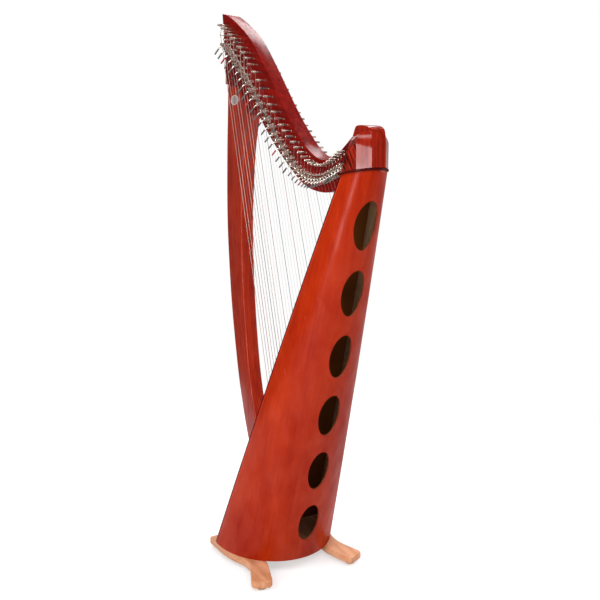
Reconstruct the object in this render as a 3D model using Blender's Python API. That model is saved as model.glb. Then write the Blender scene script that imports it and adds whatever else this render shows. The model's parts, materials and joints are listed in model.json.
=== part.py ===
"""Lever harp: vaulted soundbox, bowed pillar, curved neck, and a sharpening lever for every string.

Metres, +Z up. The strings lie close to the plane Y = 0, the pillar is towards -X, the player's side
and the soundbox are towards +X, and the levers are on the player's left, towards -Y.
Lengths are measured from the toe of the soundboard (x = 0) and from the floor (z = 0). At the end the
whole harp is moved so that the origin lies on the floor, under the centre of its outline.
"""

import math

import bmesh
import bpy
import numpy as np

GAP = 0.0003                      # clearance between pieces that touch

# Soundbox: the soundboard's back plane runs from the toe up to BOARD_END
RIM_Z = 0.036
BOARD_END = np.array([0.454, 1.062])
TOE_HALF_WIDTH = 0.168
TOP_HALF_WIDTH = 0.052
SIDE_BULGE = 0.005
TOE_DEPTH = 0.190
TOP_DEPTH = 0.060
TOP_TILT = math.radians(9.3)
SHELL_WALL = 0.006
BOARD_THICK = 0.004

# Six tall elliptical holes on the centre line of the back, at distances up from the toe
HOLE_COUNT = 6
HOLE_FIRST = 0.1234
HOLE_LAST = 0.9907
HOLE_WIDTH = 0.059
HOLE_HEIGHT = 0.118

# Inside and front woodwork of the box
BASE_THICK = 0.015
TOP_BLOCK_THICK = 0.018
LINER_WIDTH = 0.012
LINER_DEPTH = 0.014
LINER_END = 0.045
BRACE_WIDTH = 0.010
BRACE_HEIGHT = 0.010
STRIP_WIDTH = 0.010
STRIP_THICK = 0.004
RIB_HALF_WIDTH = 0.012
RIB_THICK = 0.005
RIB_MARGIN = 0.020
BAR_HALF_WIDTH = 0.009
BAR_THICK = 0.005

# Cap plate and shoulder block
CAP_THICK = 0.008
CAP_OVERHANG = 0.004
CAP_EASE = 0.0015

# Shoulder block: corners behind the top of the soundboard, to the side of the middle, and above it
SHOULDER_FRONT_HALF = 0.039
SHOULDER_FRONT_RISE = 0.043
SHOULDER_SIDE = np.array([0.038, 0.042, 0.066])
SHOULDER_REAR = np.array([0.062, 0.018, 0.055])
CREST_SIDE = np.array([0.026, 0.018, 0.0935])
CREST_REAR = np.array([0.053, 0.0175, 0.100])
HOOK = [                          # top of the block's middle, from the end of the neck's ridge
    (0.000, 0.000), (0.005, 0.0105), (0.011, 0.0205), (0.020, 0.024), (0.038, 0.0235),
    (0.054, 0.0215), (0.064, 0.017), (0.070, 0.010), (0.0715, 0.002)]
HOOK_DEPTH = 0.046

# Neck and pillar in the plane of the strings
NECK_HALF = 0.019
NECK_EASE = 0.0015
PILLAR_HALF = 0.020
PILLAR_EASE = 0.006
HEAD_FRONT = [(-0.221, 1.307), (-0.2195, 1.356), (-0.226, 1.424), (-0.235, 1.500)]
RIDGE = [(-0.235, 1.500), (-0.195, 1.488), (-0.122, 1.451), (-0.048, 1.402), (0.031, 1.325),
         (0.134, 1.217), (0.207, 1.151), (0.259, 1.115), (0.316, 1.096), (0.375, 1.107),
         (0.441, 1.146)]
UNDERSIDE = [(0.430, 1.066), (0.395, 1.0375), (0.360, 1.025), (0.317, 1.021), (0.260, 1.028),
             (0.210, 1.046), (0.154, 1.080), (0.090, 1.124), (0.030, 1.173), (0.000, 1.200),
             (-0.030, 1.224), (-0.058, 1.230), (-0.074, 1.215)]
SCARF_KNEE = (-0.130, 1.290)      # the neck and pillar joint turns here
PILLAR_STATIONS = [               # front edge x, z and rear edge x, z, from the head to the toe
    (-0.203, 1.335, -0.050, 1.290), (-0.2055, 1.285, -0.070, 1.228), (-0.210, 1.220, -0.090, 1.175),
    (-0.2175, 1.125, -0.1075, 1.105), (-0.2235, 0.980, -0.125, 0.965), (-0.221, 0.860, -0.128, 0.850),
    (-0.206, 0.700, -0.121, 0.720), (-0.184, 0.570, -0.107, 0.597), (-0.157, 0.450, -0.087, 0.485),
    (-0.121, 0.340, -0.056, 0.380), (-0.080, 0.245, -0.018, 0.285), (-0.030, 0.140, 0.030, 0.185),
    (0.015, 0.045, 0.075, 0.090)]

# Oval badge let into the pillar's left side
BADGE_CENTRE = (-0.159, 1.259)
BADGE_HALF_LENGTH = 0.025
BADGE_HALF_HEIGHT = 0.0135
BADGE_THICK = 0.002
BADGE_PROUD = 0.0005

# Pillar bolt, from inside the box into the pillar's foot
BOLT_HEIGHT = 0.084
BOLT_RADIUS = 0.004
BOLT_HEAD_RADIUS = 0.008
BOLT_HEAD_THICK = 0.005
BOLT_REACH = 0.028

# Strings: parallel lines in the plane of the neck, numbered from the bass
STRING_COUNT = 36
STRING_LEAN = math.radians(13.8)
FIRST_STRING = 0.137              # distance of string 1 from the toe, square to the strings
BASS_SPACING = 0.0169
TREBLE_SPACING = 0.0127
DRAWN_BAND = 0.518                # the neck's outlines are drawn for a band of strings this wide
BASS_RADIUS = 0.0008
TREBLE_RADIUS = 0.00035
STRING_SINK = 0.003
BOARD_STRING_Y = -0.010           # the strings leave the soundboard here

# Rows of levers and tuning pins on the neck's left face
LEVER_ROW = [(-0.213, 1.421), (-0.160, 1.385), (-0.128, 1.361), (-0.055, 1.300), (0.015, 1.236),
             (0.070, 1.184), (0.098, 1.158), (0.176, 1.095), (0.235, 1.060), (0.292, 1.048),
             (0.350, 1.0545), (0.430, 1.081)]
PIN_ROW = [(-0.205, 1.466), (-0.112, 1.413), (-0.027, 1.349), (0.043, 1.279), (0.109, 1.214),
           (0.185, 1.152), (0.262, 1.100), (0.310, 1.085), (0.360, 1.088), (0.430, 1.119)]
PIN_LEAD = 0.018                  # a tuning pin sits this far on the treble side of its string
PIN_RADIUS = 0.003
PIN_PAST = 0.014                  # how far tuning pins reach past the strings, and bridge pins
BRIDGE_PAST = 0.0025
PIN_RIGHT = 0.021
BRIDGE_RADIUS = 0.002
BASS_BRIDGE_RISE = 0.030          # from a lever's pivot up to its bridge pin
TREBLE_BRIDGE_RISE = 0.012

# Levers come in three sizes, each for a number of strings. Their other sizes are for the treble ones
LEVER_SIZES = {                   # strings, scale, handle's reach, strings' height off the neck
    "bass": (10, 1.3, 0.031, 0.017),
    "middle": (10, 1.15, 0.026, 0.014),
    "treble": (16, 1.0, 0.021, 0.011)}

# Lever housing: plate, pivot pin and fret
PLATE_THICK = 0.0025
PLATE_BASS_SIDE = 0.004
PLATE_TREBLE_SIDE = 0.008
PLATE_DOWN = 0.010
PLATE_UP = 0.009
PIVOT_OFFSET = 0.006              # from the string to the lever's pivot
PIVOT_RADIUS = 0.0013
PIVOT_PROUD = 0.0015
FRET_WIDTH = 0.0018
FRET_LENGTH = 0.004
FRET_LIFT = 0.0055
FRET_CLEARANCE = 0.0013
FRET_PROUD = 0.003

# Sharpening lever
HUB_RADIUS = 0.0042
HUB_SIDES = 10
HUB_PAST = 0.0055                 # how far a hub reaches past the strings
CAM_REACH = 0.0049
CAM_LEAD = math.radians(30.8)     # from the handle round to the cam's nose
HANDLE_RADIUS = 0.0015
HANDLE_ROOT = 0.0032
HANDLE_KNEE = 0.009
KNEE_RISE = 0.005
HANDLE_RISE = 0.0115
HANDLE_REST = math.radians(238)   # direction of the handle when the string is open

# Feet: two rails with toes that curve out, and a pad under each toe
RAIL_STATIONS = [                 # x, inset from the box's side, width, top z, underside z
    (-0.062, 0.030, 0.044, 0.0275, 0.010), (-0.054, 0.030, 0.054, 0.0285, 0.010),
    (-0.036, 0.030, 0.054, 0.0305, 0.010), (-0.010, 0.0285, 0.050, 0.0350, 0.0115),
    (0.030, 0.029, 0.048, 0.0357, 0.013), (0.070, 0.037, 0.047, 0.0357, 0.013),
    (0.110, 0.0505, 0.047, 0.0357, 0.013), (0.150, 0.0535, 0.048, 0.0352, 0.0125),
    (0.178, 0.046, 0.050, 0.0325, 0.011), (0.205, 0.0355, 0.053, 0.0300, 0.010),
    (0.226, 0.0275, 0.054, 0.0285, 0.010), (0.235, 0.024, 0.044, 0.0275, 0.010)]
RAIL_EASE = 0.003
PAD_PLACES = {"front": (-0.040, 0.030), "rear": (0.2145, 0.0315)}
PAD_RADIUS = 0.015
PAD_FOOT_RADIUS = 0.0135
PAD_TOP_Z = 0.010

# Derived directions: along and across the strings, and along and out of the soundboard
STRING_UP = np.array([-math.sin(STRING_LEAN), math.cos(STRING_LEAN)])
STRING_ACROSS = np.array([math.cos(STRING_LEAN), math.sin(STRING_LEAN)])
BOARD_TOE = np.array([0.0, RIM_Z])
BOARD_RUN = BOARD_END - BOARD_TOE
BAND = (STRING_COUNT - 1) * (BASS_SPACING + TREBLE_SPACING) / 2
BAND_DIRECTION = STRING_ACROSS + STRING_UP * (BOARD_RUN @ STRING_UP) / (BOARD_RUN @ STRING_ACROSS)


def follow_band(points):
    """Stretch whatever lies beyond string 1, so that the neck and the box fit the band of strings."""
    points = np.array(points, float)
    beyond = np.clip(points @ STRING_ACROSS - FIRST_STRING, 0, None)
    return points + (beyond * (BAND / DRAWN_BAND - 1))[..., None] * BAND_DIRECTION


BOARD_TOP = follow_band(BOARD_END)
BOARD_LENGTH = float(np.hypot(*(BOARD_TOP - BOARD_TOE)))
BOARD_UP = (BOARD_TOP - BOARD_TOE) / BOARD_LENGTH
BOARD_OUT = np.array([-BOARD_UP[1], BOARD_UP[0]])
CAP_ALONG = np.array([math.cos(TOP_TILT), math.sin(TOP_TILT)])
CAP_UP = np.array([-math.sin(TOP_TILT), math.cos(TOP_TILT)])
BOARD_FACE = GAP + BOARD_THICK
RIB_FACE = BOARD_FACE + GAP + RIB_THICK
PLATE_FACE_Y = -NECK_HALF - PLATE_THICK
HUB_INNER_Y = PLATE_FACE_Y - GAP
HEAD_LINE, RIDGE_LINE, UNDER_LINE, KNEE = map(follow_band, (HEAD_FRONT, RIDGE, UNDERSIDE, SCARF_KNEE))
LEVER_LINE, PIN_LINE, BADGE = map(follow_band, (LEVER_ROW, PIN_ROW, BADGE_CENTRE))

WOOD_RED = (0.45, 0.05, 0.02, 1)
WOOD_DARK = (0.22, 0.02, 0.015, 1)
SPRUCE = (0.62, 0.42, 0.22, 1)
BEECH = (0.72, 0.47, 0.28, 1)
STEEL = (0.70, 0.69, 0.66, 1)
SLEEVE_COLOURS = {"A": (0.25, 0.25, 0.24, 1), "C": (0.45, 0.02, 0.03, 1), "F": (0.01, 0.01, 0.012, 1)}


def place(xz, y):
    """Point in space from a point in the plane of the neck and a distance to the side."""
    return np.array([xz[0], y, xz[1]])


def smooth(points, steps):
    """Catmull-Rom curve through the points, with a number of steps between neighbours."""
    given = np.array(points, float)
    ends = np.vstack([2 * given[0] - given[1], given, 2 * given[-1] - given[-2]])
    t = np.linspace(0, 1, steps, endpoint=False)[:, None]
    runs = [0.5 * (2 * b + (c - a) * t + (2 * a - 5 * b + 4 * c - d) * t ** 2
                   + (3 * b - a - 3 * c + d) * t ** 3)
            for a, b, c, d in zip(ends, ends[1:], ends[2:], ends[3:])]
    return np.vstack(runs + [given[-1:]])


def inset(outline, distance):
    """Move every corner of a closed outline inwards by the distance."""
    before = outline - np.roll(outline, 1, axis=0)
    after = np.roll(outline, -1, axis=0) - outline
    turn = before / np.linalg.norm(before, axis=1)[:, None] + after / np.linalg.norm(after, axis=1)[:, None]
    turn /= np.linalg.norm(turn, axis=1)[:, None]
    inward = np.stack([-turn[:, 1], turn[:, 0]], axis=1)
    following = np.roll(outline, -1, axis=0)
    area = np.sum(outline[:, 0] * following[:, 1] - outline[:, 1] * following[:, 0])
    return outline + inward * distance * np.sign(area)


def loft(rings):
    """Closed solid through a row of rings that have the same number of corners."""
    rings = np.array(rings)
    rows, corners = rings.shape[:2]
    faces = [tuple(range(corners)), tuple(range(rows * corners - 1, (rows - 1) * corners - 1, -1))]
    for row in range(rows - 1):
        for corner in range(corners):
            follow = (corner + 1) % corners
            low, high = row * corners, (row + 1) * corners
            faces.append((low + corner, high + corner, high + follow, low + follow))
    return rings.reshape(-1, 3), faces


def merge(shapes):
    """One shape that holds several separate ones."""
    corners, faces, first = [], [], 0
    for points, around in shapes:
        corners.append(points)
        faces += [tuple(first + index for index in face) for face in around]
        first += len(points)
    return np.vstack(corners), faces


def slab(outline, y_low, y_high, ease=0.0):
    """Outline in the plane of the neck, given a thickness across it, with eased edges."""
    levels = [(y_low, ease), (y_low + ease, 0.0), (y_high - ease, 0.0), (y_high, ease)]
    if ease == 0.0:
        levels = [levels[0], levels[-1]]
    rings = []
    for y, distance in levels:
        ring = inset(outline, distance)
        rings.append(np.column_stack([ring[:, 0], np.full(len(ring), y), ring[:, 1]]))
    return loft(rings)


def rod(start, end, radius, sides, end_radius=None):
    """Straight bar with flat ends and a number of sides."""
    start, end = np.array(start, float), np.array(end, float)
    along = (end - start) / np.linalg.norm(end - start)
    helper = np.array([0.0, 0.0, 1.0]) if abs(along[2]) < 0.9 else np.array([1.0, 0.0, 0.0])
    across = np.cross(helper, along)
    across /= np.linalg.norm(across)
    third = np.cross(along, across)
    angles = np.arange(sides) * 2 * math.pi / sides
    circle = np.cos(angles)[:, None] * across + np.sin(angles)[:, None] * third
    return loft([start + circle * radius, end + circle * (end_radius or radius)])


def tube(points, radius, sides):
    """Bar along a bent path, mitred at its corners."""
    points = np.array(points, float)
    steps = np.diff(points, axis=0)
    steps /= np.linalg.norm(steps, axis=1)[:, None]
    angles = np.arange(sides) * 2 * math.pi / sides
    rings = []
    for index, point in enumerate(points):
        before, after = steps[max(index - 1, 0)], steps[min(index, len(steps) - 1)]
        mean = (before + after) / np.linalg.norm(before + after)
        side = np.cross(after, [0.0, 1.0, 0.0])
        side /= np.linalg.norm(side)
        other = np.cross(side, mean)
        side = np.cross(mean, other)
        stretch = 1 / max(float(mean @ after), 0.5)
        circle = np.cos(angles)[:, None] * side * stretch + np.sin(angles)[:, None] * other
        rings.append(point + circle * radius)
    return loft(rings)


def mesh_from(name, shape):
    """Mesh of a shape, with its faces turned outwards."""
    mesh = bpy.data.meshes.new(name)
    mesh.from_pydata([tuple(point) for point in shape[0]], [], shape[1])
    work = bmesh.new()
    work.from_mesh(mesh)
    bmesh.ops.recalc_face_normals(work, faces=work.faces)
    work.to_mesh(mesh)
    work.free()
    return mesh


def material(name, colour, roughness, metallic):
    """Plain surface finish for one piece."""
    made = bpy.data.materials.new(name)
    made.use_nodes = True
    surface = made.node_tree.nodes["Principled BSDF"]
    surface.inputs["Base Color"].default_value = colour
    surface.inputs["Roughness"].default_value = roughness
    surface.inputs["Metallic"].default_value = metallic
    return made


def piece(name, shape, colour, roughness=0.35, metallic=0.0, mesh=None):
    """Named piece of the harp, under the harp's own empty."""
    made = bpy.data.objects.new(name, mesh or mesh_from(name, shape))
    bpy.context.scene.collection.objects.link(made)
    made.parent = bpy.data.objects["harp"]
    if not made.data.materials:
        made.data.materials.append(None)
    made.material_slots[0].link = "OBJECT"
    made.material_slots[0].material = material(name, colour, roughness, metallic)
    return made


def combine(target, shape, operation):
    """Join a shape to a piece, or cut it out of the piece."""
    tool = bpy.data.objects.new("tool", mesh_from("tool", shape))
    bpy.context.scene.collection.objects.link(tool)
    change = target.modifiers.new("combine", "BOOLEAN")
    change.solver = "EXACT"
    change.operation = operation
    change.object = tool
    bpy.context.view_layer.update()
    evaluated = target.evaluated_get(bpy.context.evaluated_depsgraph_get())
    result = bpy.data.meshes.new_from_object(evaluated)
    target.modifiers.clear()
    target.data = result
    bpy.data.objects.remove(tool)


def shade(target, angle=30):
    """Smooth shading, with edges sharper than the angle kept crisp."""
    target.data.shade_smooth()
    target.data.set_sharp_from_angle(angle=math.radians(angle))


def board_point(share, out=0.0):
    """Point on the soundboard's back plane, at a share of its length, moved out of the plane."""
    return BOARD_TOE + BOARD_UP * BOARD_LENGTH * share + BOARD_OUT * out


def half_width(share):
    """Half the soundbox's width, with slightly bulging sides."""
    return TOE_HALF_WIDTH + (TOP_HALF_WIDTH - TOE_HALF_WIDTH) * share + 4 * SIDE_BULGE * share * (1 - share)


def section(share, angles, wall=0.0):
    """Half ellipse of the vaulted back at a share of the height, with the wall taken off."""
    width = half_width(share) - wall
    depth = TOE_DEPTH + (TOP_DEPTH - TOE_DEPTH) * share - wall
    tilt = TOP_TILT * share
    base = board_point(share)
    back = depth * np.cos(angles)
    return np.column_stack([base[0] + back * math.cos(tilt), width * np.sin(angles),
                            base[1] + back * math.sin(tilt)])


def cap_drop(thick):
    """How far a layer on the soundboard's front ends below the cap plate, along the board."""
    return thick * math.tan(math.atan2(BOARD_UP[0], BOARD_UP[1]) + TOP_TILT)


def soundbox_shell():
    """Vaulted back: half ellipses lofted from toe to top, a wall thick, with its sound holes."""
    angles = np.linspace(-math.pi / 2, math.pi / 2, 29)
    rings = []
    for share in np.linspace(0, 1, 9):
        rings.append(np.vstack([section(share, angles), section(share, angles[::-1], SHELL_WALL)]))
    points, faces = loft(rings)
    corners = 2 * len(angles)
    faces = faces[2:]
    for first in (0, (len(rings) - 1) * corners):
        for index in range(len(angles) - 1):
            faces.append((first + index, first + index + 1,
                          first + corners - 2 - index, first + corners - 1 - index))
    shell = piece("soundbox_shell", (points, faces), WOOD_RED)
    middle = np.array([0.0])
    back = section(1, middle)[0] - section(0, middle)[0]
    back /= np.linalg.norm(back)
    outward = np.array([back[2], 0.0, -back[0]])
    around = np.linspace(0, 2 * math.pi, 24, endpoint=False)
    cutters = []
    for share in np.linspace(HOLE_FIRST, HOLE_LAST, HOLE_COUNT) / BOARD_LENGTH:
        ring = (section(share, middle)[0] + np.cos(around)[:, None] * back * HOLE_HEIGHT / 2
                + np.sin(around)[:, None] * np.array([0.0, 1.0, 0.0]) * HOLE_WIDTH / 2)
        inner, outer = ring - outward * (SHELL_WALL + HOLE_WIDTH / 3), ring + outward * SHELL_WALL * 2
        cutters.append(loft([inner, outer]))
    combine(shell, merge(cutters), "DIFFERENCE")
    shade(shell)


def vault_plug(name, low, high, colour):
    """Board that fills the shell between two shares of its height."""
    angles = np.linspace(-math.pi / 2, math.pi / 2, 25)
    made = piece(name, loft([section(share, angles, SHELL_WALL + GAP) for share in (low, high)]), colour, 0.6)
    shade(made)


def brace(name, share):
    """Arched rib inside the vault, between two sound holes."""
    half = BRACE_WIDTH / 2 / BOARD_LENGTH
    depth = TOE_DEPTH + (TOP_DEPTH - TOE_DEPTH) * share - SHELL_WALL
    reach = math.acos((LINER_DEPTH + 2 * GAP) / (depth - BRACE_HEIGHT))
    rings = []
    for angle in np.linspace(-reach, reach, 21):
        here = np.array([angle])
        rings.append(np.vstack([section(share - half, here, SHELL_WALL + GAP),
                                section(share + half, here, SHELL_WALL + GAP),
                                section(share + half, here, SHELL_WALL + GAP + BRACE_HEIGHT),
                                section(share - half, here, SHELL_WALL + GAP + BRACE_HEIGHT)]))
    made = piece(name, loft(rings), SPRUCE, 0.6)
    shade(made)


def board_layer(name, low, high, inner, outer, edges, colour, roughness=0.4, rows=9):
    """Layer on the soundboard between two shares of its length, with given side edges."""
    rings = []
    for share in np.linspace(low, high, rows):
        left, right = edges(share)
        near, far = board_point(share, inner), board_point(share, outer)
        rings.append([place(near, left), place(near, right), place(far, right), place(far, left)])
    return piece(name, loft(rings), colour, roughness)


def liner(side, sign):
    """Strip in the corner between the soundboard and the shell."""
    rings = []
    for share in np.linspace(LINER_END, BOARD_LENGTH - LINER_END, 9) / BOARD_LENGTH:
        depth = TOE_DEPTH + (TOP_DEPTH - TOE_DEPTH) * share - SHELL_WALL
        front = half_width(share) - SHELL_WALL - GAP
        back = (front + GAP) * math.sqrt(1 - ((LINER_DEPTH + GAP) / depth) ** 2) - 2 * GAP
        inner = back - LINER_WIDTH
        base = board_point(share)
        rear = base + np.array([math.cos(TOP_TILT * share), math.sin(TOP_TILT * share)]) * LINER_DEPTH
        rings.append([place(base, sign * front), place(rear, sign * back),
                      place(rear, sign * inner), place(base, sign * inner)])
    piece("liner_" + side, loft(rings), SPRUCE, 0.6)


def soundboard():
    """Flat front of the box, with its rib, string bar, edge strips and liners."""
    high = 1 - cap_drop(BOARD_FACE) / BOARD_LENGTH
    board = board_layer("soundboard", 0, high, GAP, BOARD_FACE,
                        lambda share: (-half_width(share), half_width(share)), WOOD_RED)
    centre = board_point(BOLT_HEIGHT / BOARD_LENGTH)
    hole = rod(place(centre - BOARD_OUT * BOLT_REACH, 0), place(centre + BOARD_OUT * BOLT_REACH, 0),
               BOLT_RADIUS + GAP, 12)
    combine(board, hole, "DIFFERENCE")
    strip_out = BOARD_FACE + GAP + STRIP_THICK
    strip_high = 1 - cap_drop(strip_out) / BOARD_LENGTH
    for side, sign in (("left", -1), ("right", 1)):
        board_layer("edge_strip_" + side, 0, strip_high, BOARD_FACE + GAP, strip_out,
                    lambda share, sign=sign: (sign * (half_width(share) - STRIP_WIDTH),
                                              sign * half_width(share)), WOOD_DARK)
        liner(side, sign)
    board_layer("string_bar", rib_low(), 1 - LINER_END / BOARD_LENGTH, 0, -BAR_THICK,
                lambda share: (BOARD_STRING_Y - BAR_HALF_WIDTH, BOARD_STRING_Y + BAR_HALF_WIDTH),
                BEECH, 0.5, 2)


def rib_low():
    """Share of the board's length at which the string rib begins, above the pillar's foot."""
    front = place_on_board(string_level(0), RIB_FACE)
    return float((front - BOARD_TOE) @ BOARD_UP - RIB_MARGIN) / BOARD_LENGTH


def cap_outline(grow):
    """The cap plate's outline as distances along its slope and across it."""
    angles = np.linspace(-math.pi / 2, math.pi / 2, 21)
    arc = np.column_stack([(TOP_DEPTH + grow) * np.cos(angles), (TOP_HALF_WIDTH + grow) * np.sin(angles)])
    front = -(BOARD_FACE + GAP + STRIP_THICK) / math.cos(TOP_TILT) - grow
    return np.vstack([arc, [[front, TOP_HALF_WIDTH + grow], [front, -TOP_HALF_WIDTH - grow]]])


def cap_point(along, y, up):
    """Point over the soundbox's sloping top."""
    return place(BOARD_TOP + CAP_ALONG * along + CAP_UP * up, y)


def cap_plate():
    """Thin plate with eased edges between the soundbox and the shoulder block."""
    rings = []
    for up, grow in ((0, CAP_OVERHANG - CAP_EASE), (CAP_EASE, CAP_OVERHANG),
                     (CAP_THICK - CAP_EASE, CAP_OVERHANG), (CAP_THICK, CAP_OVERHANG - CAP_EASE)):
        rings.append([cap_point(along, y, GAP + up) for along, y in cap_outline(grow)])
    shade(piece("cap_plate", loft(rings), WOOD_DARK))


def over_cap(x):
    """Height just above the cap plate, at a distance from the toe."""
    return BOARD_TOP[1] + (x - BOARD_TOP[0]) * math.tan(TOP_TILT) + (CAP_THICK + 2 * GAP) / math.cos(TOP_TILT)


def block_corner(low, high, level):
    """Rear corner of the block: upright to its facet's top edge, then a quarter turn up to the crest."""
    rise, roll = math.sin(max(level, 0.0)), 1 - math.cos(max(level, 0.0))
    x, y, z = low + (high - low) * np.array([roll, roll, rise]) + place(BOARD_TOP, 0)
    return (x, y, over_cap(x) if level < 0 else z)


def front_corner(level):
    """Front corner of the block: up the neck's end, from the flared foot to the end of the ridge."""
    foot, head = UNDER_LINE[0], RIDGE_LINE[-1]
    start = (BOARD_TOP[1] + SHOULDER_FRONT_RISE - foot[1]) / (head[1] - foot[1])
    up = 0.0 if level < 0 else start + (1 - start) * math.sin(level)
    x, z = foot + (head - foot) * up
    flare = (SHOULDER_FRONT_HALF - CREST_SIDE[1]) * (1 - up ** 2)
    return (x + GAP, CREST_SIDE[1] + flare, over_cap(x) if level < 0 else z)


def shoulder_block():
    """Faceted block: flared front, chamfered rear corners and shoulders that roll up to a hooked middle."""
    rings = []
    for level in np.concatenate([[-1.0], np.linspace(0, math.pi / 2, 8)]):
        half = [front_corner(level), block_corner(SHOULDER_SIDE, CREST_SIDE, level),
                block_corner(SHOULDER_REAR, CREST_REAR, level)]
        rings.append(half + [(x, -y, z) for x, y, z in half[::-1]])
    block = piece("shoulder_block", loft(rings), WOOD_DARK)
    joint = RIDGE_LINE[-1] - UNDER_LINE[0]
    top = RIDGE_LINE[-1] + np.array([GAP, 0]) + smooth(HOOK, 3)
    foot = top[0] - joint * HOOK_DEPTH / joint[1]
    middle = np.vstack([[foot], top, [(top[-1][0], foot[1])]])
    combine(block, slab(middle, -NECK_HALF, NECK_HALF, NECK_EASE), "UNION")
    shade(block)


def neck_outline():
    """Closed outline of the neck: head, ridge, treble joint, underside and pillar joint."""
    return np.vstack([smooth(HEAD_LINE, 3)[:-1], smooth(RIDGE_LINE, 4), smooth(UNDER_LINE, 3), [KNEE]])


def pillar_shape():
    """Bowed column: rounded rectangles lofted along its front and rear edges."""
    rings = []
    corner = np.radians([0, 45, 90])
    for front_x, front_z, rear_x, rear_z in smooth(PILLAR_STATIONS, 2):
        front, rear = follow_band([(front_x, front_z), (rear_x, rear_z)])
        across = rear - front
        depth = np.linalg.norm(across)
        across /= depth
        ring = []
        for quarter, (along, side) in enumerate(((1, 1), (0, 1), (0, -1), (1, -1))):
            centre = PILLAR_EASE + along * (depth - 2 * PILLAR_EASE)
            for angle in corner + quarter * math.pi / 2:
                reach = centre + PILLAR_EASE * math.cos(angle)
                y = side * (PILLAR_HALF - PILLAR_EASE) + PILLAR_EASE * math.sin(angle)
                ring.append(place(front + across * reach, y))
        rings.append(ring)
    return loft(rings)


def pillar():
    """Pillar, cut to the neck's scarf at the top and to the soundboard at its foot, with its bolt."""
    made = piece("pillar", pillar_shape(), WOOD_RED)
    lead, tail = HEAD_LINE[0] - KNEE, UNDER_LINE[-1] - KNEE
    below, over = np.array([0, -GAP * 1.5]), np.array([0, np.linalg.norm(lead) * 2])
    above = np.array([KNEE + lead * 1.5 + below, KNEE + below, KNEE + tail * 1.5 + below,
                      KNEE + tail * 1.5 + over, KNEE + lead * 1.5 + over])
    combine(made, slab(above, -2 * PILLAR_HALF, 2 * PILLAR_HALF), "DIFFERENCE")
    face = BOARD_FACE + GAP
    behind = np.array([board_point(share, out) for share, out in
                       ((-0.2, face), (0.5, face), (0.5, -TOE_DEPTH), (-0.2, -TOE_DEPTH))])
    combine(made, slab(behind, -2 * PILLAR_HALF, 2 * PILLAR_HALF), "DIFFERENCE")
    centre = board_point(BOLT_HEIGHT / BOARD_LENGTH)
    tip = centre + BOARD_OUT * (face + BOLT_REACH)
    combine(made, rod(place(centre, 0), place(tip + BOARD_OUT * GAP, 0), BOLT_RADIUS + GAP, 12), "DIFFERENCE")
    around = np.linspace(0, 2 * math.pi, 24, endpoint=False)
    oval = BADGE + np.column_stack([BADGE_HALF_LENGTH * np.cos(around), BADGE_HALF_HEIGHT * np.sin(around)])
    seat = -PILLAR_HALF + BADGE_THICK - BADGE_PROUD
    combine(made, slab(inset(oval, -GAP), -2 * PILLAR_HALF, seat), "DIFFERENCE")
    shade(made)
    shade(piece("pillar_badge", slab(oval, seat - GAP - BADGE_THICK, seat - GAP), STEEL, 0.3, 1.0))
    head = centre - BOARD_OUT * (GAP + BOLT_HEAD_THICK)
    bolt = piece("pillar_bolt", rod(place(head, 0), place(centre - BOARD_OUT * GAP, 0), BOLT_HEAD_RADIUS, 12),
                 STEEL, 0.3, 1.0)
    shank = rod(place(centre - BOARD_OUT * BOLT_HEAD_THICK / 2, 0), place(tip, 0), BOLT_RADIUS, 12)
    combine(bolt, shank, "UNION")
    shade(bolt)


def string_offset(index):
    """Distance of a string from the toe, square to the strings. The spacing narrows to the treble."""
    gaps = STRING_COUNT - 1
    change = (TREBLE_SPACING - BASS_SPACING) / (gaps - 1)
    return FIRST_STRING + index * BASS_SPACING + change * index * (index - 1) / 2


def lever_size(index):
    """Scale, handle's reach and strings' height off the neck for a string's size of lever."""
    for count, scale, reach, height in LEVER_SIZES.values():
        if index < count:
            break
        index -= count
    return scale, reach, height


def string_y(index):
    """How far to the side a string runs beside the neck."""
    return -NECK_HALF - lever_size(index)[2]


def on_row(row, offset):
    """Point of a row on the neck at a distance across the strings."""
    dense = smooth(row, 8)
    return np.array([np.interp(offset, dense @ STRING_ACROSS, dense[:, axis]) for axis in (0, 1)])


def pivot_point(index):
    """Pivot of a lever in the plane of the neck."""
    return on_row(LEVER_LINE, string_offset(index) + PIVOT_OFFSET * lever_size(index)[0])


def string_level(index):
    """Point of a string beside its lever's pivot."""
    return pivot_point(index) - STRING_ACROSS * PIVOT_OFFSET * lever_size(index)[0]


def place_on_board(point, out):
    """Where a string through the point meets a plane parallel to the soundboard."""
    reach = (out - (point - BOARD_TOE) @ BOARD_OUT) / (STRING_UP @ BOARD_OUT)
    return point + STRING_UP * reach


def string_length(index):
    """Free length of a string from the rib to its lever."""
    return float(np.linalg.norm(string_level(index) - place_on_board(string_level(index), RIB_FACE)))


def string_radius(index):
    """Radius of a string, thinner to the treble."""
    return BASS_RADIUS + (TREBLE_RADIUS - BASS_RADIUS) * index / (STRING_COUNT - 1)


def bridge_level(index):
    """Point of a string beside its bridge pin: higher above the lever on a longer string."""
    longest, shortest = string_length(0), string_length(STRING_COUNT - 1)
    share = (string_length(index) - shortest) / (longest - shortest)
    rise = TREBLE_BRIDGE_RISE + (BASS_BRIDGE_RISE - TREBLE_BRIDGE_RISE) * share
    return string_level(index) + STRING_UP * rise


def bridge_centre(index):
    """Centre of a bridge pin, on the treble side of its string."""
    return bridge_level(index) + STRING_ACROSS * (BRIDGE_RADIUS + string_radius(index) + GAP)


def pin_centre(index):
    """Centre of a tuning pin."""
    return on_row(PIN_LINE, string_offset(index) + PIN_LEAD)


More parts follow.
